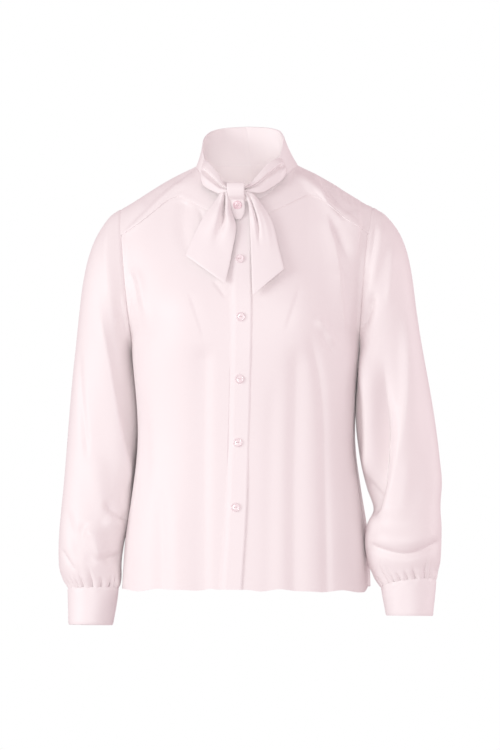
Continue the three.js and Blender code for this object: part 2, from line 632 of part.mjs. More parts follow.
// The hanging end starts from the band's lower edge beside the tab.
function tailPoint(side, at, across, out = 0) {
  const rows = side > 0 ? LEFT_TAIL : RIGHT_TAIL;
  const [inX, inZ, outX, outZ, inOff, outOff] = TAIL_COLUMNS.slice(1).map((name) => column(rows, 'at', name, at));
  const x = lerp(inX, outX, across);
  const z = lerp(inZ, outZ, across);
  const fold = TAIL_FOLDS.filter((row) => row.side === side).reduce((total, row) => {
    const reach = 1 - smooth(at, 0.1, row.to);
    return total + row.depth * Math.exp(-(((across - row.across) / row.width) ** 2)) * reach;
  }, 0);
  const off = Math.max(lerp(inOff, outOff, across) + 3 * Math.sin(Math.PI * across) * (1 - at) + fold, TAIL_LEAST);
  const free = point(x, frontAt(x, z).y - off - out, z);
  const [inner, outer] = side > 0 ? TAIL_ROOT.left : TAIL_ROOT.right;
  const root = bandPoint(side, lerp(inner, outer, across), 0, out).add(point(0, 0, -TAIL_ROOT.drop));
  return root.lerp(free, smooth(at, 0, TAIL_ROOT.reach));
}

function tieTail(side, name) {
  const rows = steps(0, 1, 10).map((at) => steps(0, 1, 9).map((across) => tailPoint(side, at, across)));
  return wall(name, rows, TIE_WALL, CLOTH_FACED, { flip: side > 0 });
}

// A sleeve: few points round the plain arm, twice as many where the gathers run into the cuff.
const ARM_ANGLES = [
  ...steps(0, YOKE_FRONT_ANGLE, ARMHOLE_STEPS),
  ...steps(YOKE_FRONT_ANGLE, YOKE_BACK_ANGLE, YOKE_END_STEPS).slice(1),
  ...steps(YOKE_BACK_ANGLE, 360, ARMHOLE_STEPS).slice(1, -1),
];
const PLAIN_STATIONS = steps(0, 13, 13);
const GATHERED_STATIONS = [14, 15, 15.6, 16.2, 16.6, CUFF_TOP];
const ARMHOLE_CLEAR = 0.45;

function sleeve(side, name) {
  const gatherAngles = steps(0, 360, ARM_ANGLES.length * 2).slice(0, -1);
  const even = gatherAngles.filter((_, i) => i % 2 === 0);
  const ring = (at, angles) => angles.map((angle) => sleevePoint(side, at, angle).add(point(side * ARMHOLE_CLEAR, 0, 0)));
  const settle = (at) => ARM_ANGLES.map((angle, i) => lerp(angle, even[i], smooth(at, 3, 12)));
  const rows = [
    ...PLAIN_STATIONS.map((at) => ring(at, settle(at))),
    ...GATHERED_STATIONS.map((at) => ring(at, gatherAngles)),
  ];
  return wall(name, rows, SLEEVE_WALL, CLOTH, { loop: true, flip: side > 0 });
}

// A cuff is one strip that starts under its own buttoned end, at the back of the wrist.
const CUFF_START = 236;
const CUFF_LAP = 34;
const CUFF_SEAM_DROP = 0.05;
const CUFF_EASE = 0.4;
const CUFF_LAP_RISE = 2.3;

function cuffPoint(side, at, turned, out = 0) {
  const lap = smooth(turned, 300, 356) * CUFF_LAP_RISE;
  return sleevePoint(side, at, (CUFF_START + turned) % 360, CUFF_EASE + lap + out).add(point(side * ARMHOLE_CLEAR, 0, 0));
}

function cuff(side, name) {
  const turns = steps(0, 360 + CUFF_LAP, 36);
  const stations = steps(CUFF_TOP + CUFF_SEAM_DROP, CUFF_FOOT, 3);
  const rows = stations.map((at) => turns.map((turned) => cuffPoint(side, at, turned)));
  return wall(name, rows, FACED_WALL, CLOTH_FACED, { flip: side > 0 });
}

function cuffButton(side, name) {
  const [at, turned] = [18, 360 + CUFF_LAP * 0.5];
  const seat = cuffPoint(side, at, turned);
  const round = cuffPoint(side, at, turned + 4).sub(cuffPoint(side, at, turned - 4));
  const down = cuffPoint(side, at + 0.1, turned).sub(cuffPoint(side, at - 0.1, turned));
  return button(name, CUFF_BUTTON_RADIUS, seat, round.cross(down).multiplyScalar(side > 0 ? -1 : 1));
}

const blouse = new THREE.Group();
blouse.add(
  frontPanel(-1, 'front_right'),
  frontPanel(1, 'front_left'),
  backPanel(),
  yoke(),
  collar(),
  middleBand('button_stand', PANEL_EDGE, 0, STAND_WALL),
  middleBand('placket', PLACKET_HALF, PLACKET_OUT, PLACKET_WALL),
  tab(),
  tieBand(-1, 'tie_band_right'),
  tieBand(1, 'tie_band_left'),
  tieTail(-1, 'tie_end_right'),
  tieTail(1, 'tie_end_left'),
  sleeve(-1, 'sleeve_right'),
  sleeve(1, 'sleeve_left'),
  cuff(-1, 'cuff_right'),
  cuff(1, 'cuff_left'),
  tabButton(),
  ...frontButtons(),
  cuffButton(-1, 'cuff_button_right'),
  cuffButton(1, 'cuff_button_left'),
);

export default blouse;
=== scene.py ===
"""A long-sleeved blouse in blush crepe satin, filled out as on a body with nobody in it.

Shapes are worked out in millimetres. +Z is up, the front faces -Y, the wearer's left is +X.
"""

import bpy
import mathutils
import numpy as np
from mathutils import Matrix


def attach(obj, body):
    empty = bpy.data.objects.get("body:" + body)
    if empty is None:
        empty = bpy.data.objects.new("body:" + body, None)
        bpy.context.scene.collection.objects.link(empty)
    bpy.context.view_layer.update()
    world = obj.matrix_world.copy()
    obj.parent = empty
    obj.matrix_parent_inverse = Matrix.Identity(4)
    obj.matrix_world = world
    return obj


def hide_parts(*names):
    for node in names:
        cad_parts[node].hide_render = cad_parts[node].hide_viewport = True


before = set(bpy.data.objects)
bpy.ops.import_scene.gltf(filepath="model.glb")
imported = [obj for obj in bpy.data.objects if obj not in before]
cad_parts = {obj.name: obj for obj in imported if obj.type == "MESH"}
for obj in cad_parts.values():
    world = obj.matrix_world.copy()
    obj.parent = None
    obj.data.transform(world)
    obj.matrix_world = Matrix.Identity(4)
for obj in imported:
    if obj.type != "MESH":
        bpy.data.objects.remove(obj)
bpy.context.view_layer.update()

# The fronts are two shaped panels of crepe satin, sewn to the yoke above, to the back at the side seams
# and to the sleeves at the armholes. The right one carries the placket. They hang from the bust in soft
# folds, and pull into creases beside the armholes.
METRES = 0.001
MIX_FROM, MIX_TO, MIX_COLOUR = 6, 7, 2
CLOTH_WALL = 1.2
PANEL_EDGE = 14.8
PANEL_ROWS = 200
FRONT_COLUMNS = 128
PANEL_SOFTENING = 102
YOKE_ANGLE = 127
SEAM_DIP = 0.35
ARMHOLE_DIP = 1.1
SEAM_REACH = 1.4
FOLD_CLEAR = 9
HEM_WAVE = {"height": 1.3, "long": 13, "short": 7.3, "fades_over": 60}


def table(names, rows):
    """The rows' numbers as one array for each named column."""
    return dict(zip(names.split(), np.array(rows, float).T))


def follow(columns, key, name, at):
    """A named column at any station: cubics through the rows, each row's slope the harmonic mean of the
    two rises beside it, so that the curve never overshoots."""
    x, y = columns[key], columns[name]
    rise = np.diff(y) / np.diff(x)
    product = rise[1:] * rise[:-1]
    total = np.where(product > 0, rise[1:] + rise[:-1], 1)
    slope = np.concatenate([rise[:1], np.where(product > 0, 2 * product / total, 0), rise[-1:]])
    at = np.clip(at, x[0], x[-1])
    i = np.clip(np.searchsorted(x, at, side="right") - 1, 0, len(x) - 2)
    span = x[i + 1] - x[i]
    t = (at - x[i]) / span
    return (
        y[i] * (1 + 2 * t) * (1 - t) ** 2
        + slope[i] * span * t * (1 - t) ** 2
        + y[i + 1] * t * t * (3 - 2 * t)
        + slope[i + 1] * span * t * t * (t - 1)
    )


def follow_all(columns, key, at):
    """Every named column but the key, each at the same station."""
    return [follow(columns, key, name, at) for name in columns if name != key]


def ease(value, low, high):
    """0 up to low, 1 from high, and a smooth S between them."""
    t = np.clip((value - low) / (high - low), 0, 1)
    return t * t * (3 - 2 * t)


def blend(a, b, share):
    """share of the way from a to b."""
    return a + (b - a) * share


def spread(down, across):
    """Two parameters as whole grids: one runs down the rows, the other across the columns."""
    return down[:, None] + 0 * across, across + 0 * down[:, None]


def armhole(angle):
    """The armhole's seam, an ellipse: 0 underarm, 90 front, 180 shoulder tip, 270 back."""
    turn = np.radians(angle)
    return np.stack([179 - 9 * np.cos(turn), -54 * np.sin(turn), -164.5 - 103.5 * np.cos(turn)], -1)


FRONT = table("at height side_z half depth turn", [
    [0, -621, -630, 183, -124, 90], [0.18, -560, -560, 180, -121, 90], [0.4, -480, -480, 169, -115, 90],
    [0.6, -405, -405, 160.5, -110, 90], [0.8, -330, -330, 164, -113, 90], [1, -268, -268, 170, -117, 90],
    [1.35, -205, 0, 0, -116, 78], [1.7, -142, 0, 0, -104, 66], [2, -80, 0, 0, -84, 58],
])
BACK = table("at height side_z half depth turn", [
    [0, -624, -630, 183, 117, 90], [0.18, -560, -560, 180, 115, 90], [0.4, -480, -480, 169, 106, 90],
    [0.6, -405, -405, 160.5, 94, 90], [0.8, -330, -330, 164, 96, 90], [1, -268, -268, 170, 102, 90],
    [1.4, -200, 0, 0, 104, 78], [1.7, -149, 0, 0, 99, 68], [2, -98, 0, 0, 88, 60],
])
YOKE_SEAM_RISE = table("across rise", [
    [0, 0], [0.08, 2], [0.17, 9], [0.29, 23], [0.39, 36],
    [0.46, 43], [0.54, 39], [0.65, 26], [0.82, 9], [1, 0],
])
FRONT_SWING = table("z x", [
    [-621, -12], [-502, -5], [-408, -2.5], [-315, 0.5], [-225, 2.5], [-141, 0], [-54, 0],
])
BUST = {"x": 88, "z": -222, "width": 50, "height": 56, "stand": 10.5}


def bulge(sweep, at):
    """How far a row stands forward, from its outer edge (sweep 0) to its middle (1): a full arc, which
    above the underarm is drawn in beside the armhole by a bell curve. Below it the cloth turns late."""
    return sweep ** blend(0.53, 0.86, ease(at, 0.85, 1.25)) * (
        1 - 0.6 * ease(at, 1, 1.3) * np.exp(-(sweep / 0.2) ** 2)
    )


def body_place(face, across, at):
    """A panel's surface, front (face -1) or back (+1). Each row is an arc between the side seams, or the
    armholes, bulging to the row's depth; across is -1 to 1 along it, at is 0 hem, 1 underarm, 2 yoke."""
    rows = FRONT if face < 0 else BACK
    side = np.where(across < 0, -1, 1)
    share = np.abs(across)
    height, side_z, half, depth, turn = follow_all(rows, "at", at)
    angle = np.maximum(at - 1, 0) * YOKE_ANGLE
    arm = armhole(angle if face < 0 else 360 - angle)
    above = at >= 1
    end_x = np.where(above, arm[..., 0], half)
    end_y = np.where(above, arm[..., 1], 2 * (1 - at))
    end_z = np.where(above, arm[..., 2], side_z)
    tilt = np.radians(turn * share)
    full = np.radians(turn)
    sweep = np.clip((np.cos(tilt) - np.cos(full)) / (1 - np.cos(full)), 0, 1)
    rise = follow(YOKE_SEAM_RISE, "across", "rise", share) * np.clip(at - 1, 0, 1) ** 3 * (face < 0)
    corner = 5 * ease(share, 0.88, 1) * (1 - ease(at, 0, 0.1))
    x = side * end_x * np.sin(tilt) / np.sin(full)
    z = blend(height, end_z, share ** 1.4) + rise + corner
    bust = np.exp(-((np.abs(x) - BUST["x"]) / BUST["width"]) ** 2 - ((z - BUST["z"]) / BUST["height"]) ** 2)
    stand = BUST["stand"] * bust * (1 - ease(share, 0.86, 1)) * (face < 0)
    swing = follow(FRONT_SWING, "z", "x", z) * (1 - share) * (face < 0)
    y = blend(end_y, depth, bulge(sweep, at)) + 0.62 * rise + face * stand * np.cos(tilt)
    return np.stack([x + swing + side * stand * np.sin(tilt), y, z], -1)


def across_at(face, x, at):
    """The place along a row at which it reaches x, worked back from the arc's sine."""
    rows = FRONT if face < 0 else BACK
    arm_x = armhole(np.maximum(at - 1, 0) * YOKE_ANGLE)[..., 0]
    reach = np.where(at >= 1, arm_x, follow(rows, "at", "half", at))
    full = np.radians(follow(rows, "at", "turn", at))
    return np.arcsin(x * np.sin(full) / reach) / full


def unit(way):
    """Each arrow divided by its own length."""
    return way / np.maximum(np.linalg.norm(way, axis=-1, keepdims=True), 1e-9)


def facing(grid, loop=False):
    """The unit normal at each place of a grid, from the cross product of its two directions."""
    if loop:
        grid = np.concatenate([grid[:, -1:], grid, grid[:, :1]], 1)
    down, right = np.gradient(grid, axis=(0, 1))
    normal = unit(np.cross(right, down))
    return normal[:, 1:-1] if loop else normal


def stood_out(grid, relief, guide, loop=False):
    """The grid moved by its relief along its normals, turned to the side that the guide's arrows point to."""
    normal = facing(grid, loop)
    return grid + normal * np.sign((normal * guide).sum()) * relief[..., None]


def edge_distances(grid):
    """How far each place lies from the first and last row and the first and last column, along the grid."""
    down = np.linalg.norm(np.diff(grid, axis=0), axis=-1)
    right = np.linalg.norm(np.diff(grid, axis=1), axis=-1)
    from_first_row = np.concatenate([np.zeros_like(down[:1]), np.cumsum(down, 0)])
    from_first_column = np.concatenate([np.zeros_like(right[:, :1]), np.cumsum(right, 1)], 1)
    return (
        from_first_row,
        from_first_row[-1:] - from_first_row,
        from_first_column,
        from_first_column[:, -1:] - from_first_column,
    )


def smooth_path(points, count=60):
    """A Catmull-Rom curve through the points, as count places evenly spaced in its parameter."""
    p = np.array(points, float)
    p = np.concatenate([2 * p[:1] - p[1:2], p, 2 * p[-1:] - p[-2:-1]])
    along = np.linspace(0, len(points) - 1, count)
    i = np.minimum(along.astype(int), len(points) - 2)
    t = (along - i)[:, None]
    a, b, c, d = p[i], p[i + 1], p[i + 2], p[i + 3]
    bent, turned_back = 2 * a - 5 * b + 4 * c - d, 3 * b - a - 3 * c + d
    return 0.5 * (2 * b + (c - a) * t + bent * t ** 2 + turned_back * t ** 3)


def crease(flat, path, left, right, depth, sharp=0.0, start=0.25, end=0.25):
    """One fold's relief over flat, an array of places in a plane. It falls away from the path as a bell
    curve, of one width on its left and another on its right, sharp mixing in a pointed crest. It fades
    in over the start share of its length and out over the end share."""
    line = smooth_path(path)
    step = np.diff(line, axis=0)
    length = np.linalg.norm(step, axis=1)
    gap = flat[..., None, :] - line[:-1]
    along = np.clip((gap * step).sum(-1) / length ** 2, 0, 1)
    gap = gap - along[..., None] * step
    nearest = (gap ** 2).sum(-1).argmin(-1)[..., None]
    gap = np.take_along_axis(gap, nearest[..., None], -2)[..., 0, :]
    along = np.take_along_axis(along, nearest, -1)[..., 0]
    nearest = nearest[..., 0]
    run = (step / length[:, None])[nearest]
    off = gap[..., 0] * run[..., 1] - gap[..., 1] * run[..., 0]
    past = np.abs((gap * run).sum(-1))
    share = (nearest + along) / len(step)
    width = np.where(off < 0, left, right)
    bell = np.exp(-(off / width) ** 2)
    point = np.exp(-np.abs(off) / (0.6 * width))
    fade = ease(share, -0.01, start) * (1 - ease(share, 1 - end, 1.01)) * np.exp(-(past / 6) ** 2)
    return depth * ((1 - sharp) * bell + sharp * point) * fade


def creases(flat, rows):
    """The relief of several folds together."""
    return sum(crease(flat, *row) for row in rows)


def swell(flat, seed, length, height):
    """Soft uneven relief over the whole cloth: six sine waves in seeded directions and lengths."""
    draw = np.random.default_rng(seed)
    relief = np.zeros(flat.shape[:-1])
    for turn, stretch, phase in draw.uniform([0, 0.7, 0], [np.pi, 1.6, 2 * np.pi], (6, 3)):
        across = flat[..., 0] * np.cos(turn) + 0.55 * flat[..., 1] * np.sin(turn)
        relief += np.sin(2 * np.pi * across / (length * stretch) + phase)
    return height * relief / np.sqrt(6)


def principled(name, colour, inputs):
    """A new material with its Principled shader, and the sockets that hold one value each."""
    material = bpy.data.materials.new(name)
    material.use_nodes = True
    shader = material.node_tree.nodes["Principled BSDF"]
    shader.inputs["Base Color"].default_value = (*colour, 1)
    for socket, value in inputs.items():
        shader.inputs[socket].default_value = value
    return material, shader


def node(tree, kind, values):
    """A new shader node with these sockets set."""
    made = tree.nodes.new(f"ShaderNode{kind}")
    for socket, value in values.items():
        made.inputs[socket].default_value = value
    return made


def crepe_satin(name, shade, deep, roughness):
    """Crepe satin: colour drifts a little between shade and deep, the twisted crepe yarns give a fine
    uneven grain, and the satin floats show as lines along the cloth, both as bump on the cloth's UVs."""
    material, shader = principled(name, shade, {
        "Specular IOR Level": 0.42, "Sheen Weight": 0.3, "Sheen Roughness": 0.4,
        "Sheen Tint": (1, 0.93, 0.94, 1),
    })
    tree = material.node_tree
    place = node(tree, "UVMap", {})
    place.uv_map = "cloth"
    drift = node(tree, "TexNoise", {"Scale": 9, "Detail": 3})
    tone = node(tree, "Mix", {MIX_FROM: (*deep, 1), MIX_TO: (*shade, 1)})
    tone.data_type = "RGBA"
    grain = node(tree, "TexNoise", {"Scale": 1500, "Detail": 3})
    floats = node(tree, "TexWave", {"Scale": 420, "Distortion": 2.5, "Detail": 1})
    both = node(tree, "Math", {})
    both.operation = "ADD"
    bump = node(tree, "Bump", {"Strength": 0.16, "Distance": 0.00022})
    gloss = node(tree, "MapRange", {"To Min": roughness - 0.05, "To Max": roughness + 0.05})
    link = tree.links.new
    for texture in (drift, grain, floats):
        link(place.outputs["UV"], texture.inputs["Vector"])
    link(drift.outputs["Fac"], tone.inputs[0])
    link(tone.outputs[MIX_COLOUR], shader.inputs["Base Color"])
    link(grain.outputs["Fac"], both.inputs[0])
    link(floats.outputs["Fac"], both.inputs[1])
    link(both.outputs[0], bump.inputs["Height"])
    link(bump.outputs["Normal"], shader.inputs["Normal"])
    link(grain.outputs["Fac"], gloss.inputs["Value"])
    link(gloss.outputs["Result"], shader.inputs["Roughness"])
    return material


SATIN = crepe_satin("crepe_satin", (0.94, 0.89, 0.891), (0.927, 0.874, 0.876), 0.45)


def new_piece(name, places, quads, material):
    """A smooth-faced object of these places, in millimetres, and these faces, that rides on the one body."""
    mesh = bpy.data.meshes.new(name)
    mesh.from_pydata((places.reshape(-1, 3) * METRES).tolist(), [], quads.tolist())
    mesh.polygons.foreach_set("use_smooth", np.ones(len(mesh.polygons), bool))
    mesh.materials.append(material)
    piece = bpy.data.objects.new(name, mesh)
    bpy.context.collection.objects.link(piece)
    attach(piece, "root")
    return piece


def quad_corners(cells):
    """The four corners of each cell of a grid, as four arrays in turn round the cell."""
    return [cells[:-1, :-1], cells[1:, :-1], cells[1:, 1:], cells[:-1, 1:]]


def surface(name, grid, material, flip=False, loop=False, wall=CLOTH_WALL):
    """A shell of cloth: one quad between each four neighbours of the grid, a UV map in metres of cloth,
    and the wall's thickness turned inwards. Its borders are sharp, so that the face stays smooth up to
    them."""
    rows, columns = grid.shape[:2]
    closed = np.concatenate([grid, grid[:, :1]], 1) if loop else grid
    index = np.arange(rows * columns).reshape(rows, columns)
    index = np.concatenate([index, index[:, :1]], 1) if loop else index
    turn = -1 if flip else 1
    piece = new_piece(name, grid, np.stack([c.ravel() for c in quad_corners(index)[::turn]], -1), material)
    mesh = piece.data
    down, _, right, _ = edge_distances(closed)
    places = np.stack([right - right[:, -1:] / 2, down], -1) * METRES
    uv = np.stack([c.reshape(-1, 2) for c in quad_corners(places)[::turn]], 1)
    mesh.uv_layers.new(name="cloth").data.foreach_set("uv", uv.ravel())
    ends = np.zeros(len(mesh.edges) * 2, int)
    mesh.edges.foreach_get("vertices", ends)
    row, column = np.divmod(ends.reshape(-1, 2), columns)
    sharp = ((row == 0).all(1)) | ((row == rows - 1).all(1))
    if not loop:
        sharp |= ((column == 0).all(1)) | ((column == columns - 1).all(1))
    mesh.attributes.new("sharp_edge", "BOOLEAN", "EDGE").data.foreach_set("value", sharp)
    thickness = piece.modifiers.new("wall", "SOLIDIFY")
    thickness.thickness = wall * METRES
    thickness.offset = -1
    return piece


def cloth_piece(name, grid, material, slot, held, rests_on=(), **form):
    """A surface that stands for the node of its name, whose own part is hidden."""
    piece = surface(f"{name}_cloth", grid, material, **form)
    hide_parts(name)


def seam_relief(distance, dip=SEAM_DIP):
    """The cloth dips into a seam, with a low soft welt beside it where the allowances lie."""
    return -dip * np.exp(-(distance / SEAM_REACH) ** 2) + 0.4 * dip * np.exp(-((distance - 5) / 3) ** 2)


def softened(grid, axis, passes, share):
    """The grid with each place moved towards the mean of its two neighbours along one axis, again and
    again, as if ironed. Its borders stay, and share says how much of the change each place takes."""
    smooth = np.moveaxis(grid.copy(), axis, 0)
    for _ in range(passes):
        smooth[1:-1] = 0.25 * smooth[:-2] + 0.5 * smooth[1:-1] + 0.25 * smooth[2:]
    return grid + (np.moveaxis(smooth, 0, axis) - grid) * share[..., None]


# Each fold: its path in the front view, its widths on the left and right of the path, its depth, and how
# pointed it is. A path runs downwards, so that its left is the wearer's left, on the viewer's right.
FRONT_RIGHT_FOLDS = [
    ([(-90, -46), (-86, -60), (-88, -80), (-86, -103), (-80, -130), (-76, -160)], 9, 11, -3, 0.1, 0.15, 0.45),
    ([(-70, -56), (-61, -70), (-56, -92)], 4, 4, -1.7, 0.2),
    ([(-166, -146), (-153, -166), (-146, -192), (-141, -222), (-139, -250)], 7, 6, 3.2, 0.2, 0.3, 0.5),
    ([(-172, -150), (-164, -172), (-158, -198), (-152, -226)], 5, 6, -3.2, 0.2, 0.3, 0.45),
    ([(-76, -186), (-66, -212), (-56, -242), (-48, -268)], 9, 2.4, -1.2, 0.45, 0.25, 0.35),
    ([(-50, -262), (-52, -330), (-53, -450), (-52, -640)], 12, 17, -3.8, 0.1, 0.15, 0.02),
    ([(-40, -172), (-30, -184), (-18, -200)], 6, 2.4, -1.3, 0.3),
    ([(-120, -440), (-116, -540), (-114, -640)], 9, 12, -2.2, 0.1, 0.4, 0.02),
    ([(-150, -330), (-142, -420), (-144, -520)], 10, 10, -1.6, 0, 0.4, 0.4),
    ([(-92, -470), (-90, -560), (-88, -640)], 18, 14, 2.4, 0, 0.4, 0.02),
]
FRONT_LEFT_FOLDS = [
    ([(143, -148), (146, -200), (151, -262)], 4.5, 12, 3, 0.4, 0.2, 0.3),
    ([(112, -226), (124, -244), (139, -270)], 6, 7, 3.4, 0.1, 0.3, 0.3),
    ([(118, -240), (126, -262), (139, -284)], 5, 5, -2, 0.2, 0.3, 0.3),
    ([(90, -176), (78, -214), (66, -252)], 8, 3, -1.1, 0.4, 0.25, 0.35),
    ([(84, -262), (82, -350), (80, -460), (81, -640)], 14, 13, -3.6, 0.1, 0.15, 0.02),
    ([(102, -246), (115, -310), (121, -370), (123, -443), (128, -640)], 7, 9, -3, 0.25, 0.15, 0.02),
    ([(150, -300), (146, -400), (150, -520)], 9, 12, -1.8, 0, 0.4, 0.4),
    ([(52, -300), (46, -420), (44, -640)], 12, 12, -1.4, 0, 0.3, 0.02),
]
# These cross the seam between the left front and the yoke, which lies hidden among them.
SHOULDER_FOLDS = [
    ([(96, -8), (106, -20), (116, -42), (128, -63), (142, -79), (152, -90)], 3.2, 10, 3, 0.35, 0.2, 0.3),
    ([(108, -17), (120, -35), (131, -51), (144, -66)], 6, 4, -3.2, 0.25, 0.25, 0.35),
    ([(122, -28), (128, -38), (141, -58)], 3, 2.6, -2.3, 0.3, 0.3, 0.4),
    ([(137, -32), (143, -42), (151, -54)], 3, 2.5, -2.3, 0.3, 0.3, 0.4),
    ([(148, -39), (154, -50), (161, -64)], 2.8, 2.4, -2.2, 0.3, 0.3, 0.4),
    ([(158, -45), (163, -53), (168, -61)], 2.5, 2.2, -1.9, 0.3, 0.3, 0.4),
    ([(168, -50), (172, -56), (177, -64)], 2.3, 2, -1.6, 0.3, 0.3, 0.4),
    ([(122, -72), (130, -97), (137, -122), (143, -154), (145, -190)], 4, 13, 3.4, 0.4, 0.2, 0.5),
    ([(130, -80), (139, -102), (151, -128), (162, -152)], 9, 5, -3.2, 0.3, 0.2, 0.4),
    ([(164, -64), (168, -90), (167, -120), (163, -150)], 5, 18, 4.5, 0.1, 0.15, 0.4),
]


def hidden_seam(across):
    """How far the left yoke seam is lost in its folds: not at the placket, wholly from its peak on, and not
    at the armhole."""
    return ease(across, 0.42, 0.5) * (1 - ease(across, 0.94, 1))


def panel(face, low, high, columns, folds, seed, through=()):
    """A body panel: the plain surface between two edges given for each row, then its folds, its swell and
    its seams stood out along the normals. Folds fade away before a seam, so that the pieces still meet,
    apart from those that run through the hidden part of the top seam. The hem rises and falls in waves."""
    at = np.linspace(0, 2, PANEL_ROWS)[:, None]
    share = np.linspace(0, 1, columns)[None]
    across = blend(low, high, share)
    grid = body_place(face, across, at + 0 * across)
    inside = (1 - ease(np.abs(across), 0.9, 1)) * ease(at, 0.1, 0.5) * (1 - ease(at, 1.6, 1.9))
    grid = softened(grid, 0, PANEL_SOFTENING, inside)
    hem, top, first, last = edge_distances(grid)
    flat = grid[..., [0, 2]]
    clear = ease(top, 1, FOLD_CLEAR) * ease(last, 1, FOLD_CLEAR)
    if face > 0:
        clear = clear * ease(first, 1, FOLD_CLEAR)
    relief = (creases(flat, folds) + swell(flat, seed, 190, 0.7)) * clear
    hidden = hidden_seam(across) if through else 0 * across
    arm_dip = blend(SEAM_DIP, ARMHOLE_DIP, ease(at, 1, 1.1))
    relief += seam_relief(top) * (1 - hidden) + seam_relief(last, arm_dip)
    if face > 0:
        relief += seam_relief(first, arm_dip)
    beside = ease(last, 4, 24) * ease(first, 4, 24) * (1 - ease(hem, 0, HEM_WAVE["fades_over"]))
    x = flat[..., 0]
    wave = np.sin(x / HEM_WAVE["long"] + seed) + 0.6 * np.sin(x / HEM_WAVE["short"])
    grid[..., 2] += HEM_WAVE["height"] * wave * beside
    if through:
        clear = blend(ease(top, 1, FOLD_CLEAR), 1, hidden) * ease(last, 1, FOLD_CLEAR)
        relief += creases(flat, through) * clear
    return stood_out(grid, relief, [0, face, 0])


def front_panel(side, folds, seed, through):
    """A front, from its edge under the placket to the side seam and armhole."""
    at = np.linspace(0, 2, PANEL_ROWS)[:, None]
    edge, seam = across_at(-1, side * PANEL_EDGE, at), side * np.ones_like(at)
    return panel(-1, edge, seam, FRONT_COLUMNS, folds, seed, through)


for side, name, folds, seed, through in (
    (-1, "front_right", FRONT_RIGHT_FOLDS, 4, ()),
    (1, "front_left", FRONT_LEFT_FOLDS, 9, SHOULDER_FOLDS),
):
    cloth_piece(
        name, front_panel(side, folds, seed, through), SATIN, "crepe_satin", "hung", flip=side > 0,
    )

# The back is one wide panel of the same satin, plain, sewn to the yoke across the shoulder blades. It
# hangs from them in a few long soft folds, and the photographed side doesn't show it.
BACK_COLUMNS = 156
BACK_FOLDS = [
    ([(-60, -110), (-66, -240), (-78, -420), (-84, -640)], 16, 22, -5, 0.1, 0.35, 0.02),
    ([(56, -120), (60, -250), (72, -430), (80, -640)], 20, 17, -5.4, 0.1, 0.35, 0.02),
    ([(-4, -190), (4, -380), (2, -640)], 20, 24, 4, 0, 0.4, 0.02),
    ([(-150, -112), (-136, -190), (-120, -300), (-118, -380)], 9, 14, -4.6, 0.2, 0.2, 0.5),
    ([(148, -112), (137, -180), (122, -290), (116, -360)], 14, 9, -4.2, 0.2, 0.2, 0.5),
    ([(-164, -200), (-148, -260), (-128, -330)], 6, 7, 3, 0.2, 0.3, 0.5),
    ([(166, -190), (150, -250), (126, -326)], 7, 6, 3.2, 0.2, 0.3, 0.5),
    ([(-120, -440), (-124, -540), (-128, -640)], 10, 14, -3, 0.1, 0.4, 0.02),
    ([(118, -420), (122, -530), (124, -640)], 14, 11, -3.2, 0.1, 0.4, 0.02),
    ([(30, -400), (34, -500), (38, -640)], 12, 12, -2, 0, 0.4, 0.02),
]


def back_panel():
    """The back from side seam to side seam."""
    ends = np.ones((PANEL_ROWS, 1))
    return panel(1, -ends, ends, BACK_COLUMNS, BACK_FOLDS, 21)


cloth_piece("back", back_panel(), SATIN, "crepe_satin", "hung", flip=True)

# The yoke is one piece over both shoulders and the back of the neck. Its front seams slope up from the
# placket to a peak beside the neck and down to the armholes, and the fronts are eased into them.
NECK = table("angle x y z rim_x rim_y rim_z", [
    [0, 0, -70, -54, 0, -67, -27], [20, 25, -66, -50, 22, -62, -25], [40, 47, -54, -34, 41, -48, -12],
    [60, 63, -34, -13, 54, -31, 10], [75, 71, -17, -2, 59, -17, 28], [90, 75, 3, 3, 59.5, -3, 42],
    [120, 67, 38, 7, 52, 25, 57], [150, 40, 59, 9, 29, 43, 65], [180, 0, 66, 10, 0, 49, 67],
])
RIM_SHIFT = -4.8
YOKE_ROWS = 50
YOKE_SOFTENING = 58
THROAT_ANGLE = 11.9
COLLAR_HOLLOW = 1.5
YOKE_FRONT_SEAT = table("across neck crown_y crown_z", [
    [0, 0, 0, 0], [0.0673, THROAT_ANGLE, 0, 0], [0.25, 38, -1.5, 1],
    [0.46, 66, -5, 3], [0.7, 76, -8, 6], [1, 82, -9, 7],
])
YOKE_BACK_SEAT = table("across neck crown_y crown_z", [
    [0, 180, 6, 4], [0.35, 146, 8, 5], [0.6, 122, 9, 6], [0.8, 108, 9, 7], [1, 98, 9, 7],
])


def collar_place(side, angle, up, out=0):
    """The stand collar: straight from the neckline (up 0) to the rim (1), hollowed by half a sine wave.
    angle runs from the front (0) round to the back (180)."""
    x, y, z, rim_x, rim_y, rim_z = follow_all(NECK, "angle", angle)
    bow = out - COLLAR_HOLLOW * np.sin(np.pi * up)
    turn = np.radians(angle)
    return np.stack([
        side * (blend(x, rim_x, up) + bow * np.sin(turn)) + RIM_SHIFT * up,
        blend(y, rim_y, up) - bow * np.cos(turn),
        blend(z, rim_z, up) + 0 * bow,
    ], -1)


def yoke_front_edge():
    """The yoke's front columns, from the placket to the armhole: the places of the front's own columns."""
    return np.linspace(across_at(-1, PANEL_EDGE, np.array(2.0)), 1, FRONT_COLUMNS)


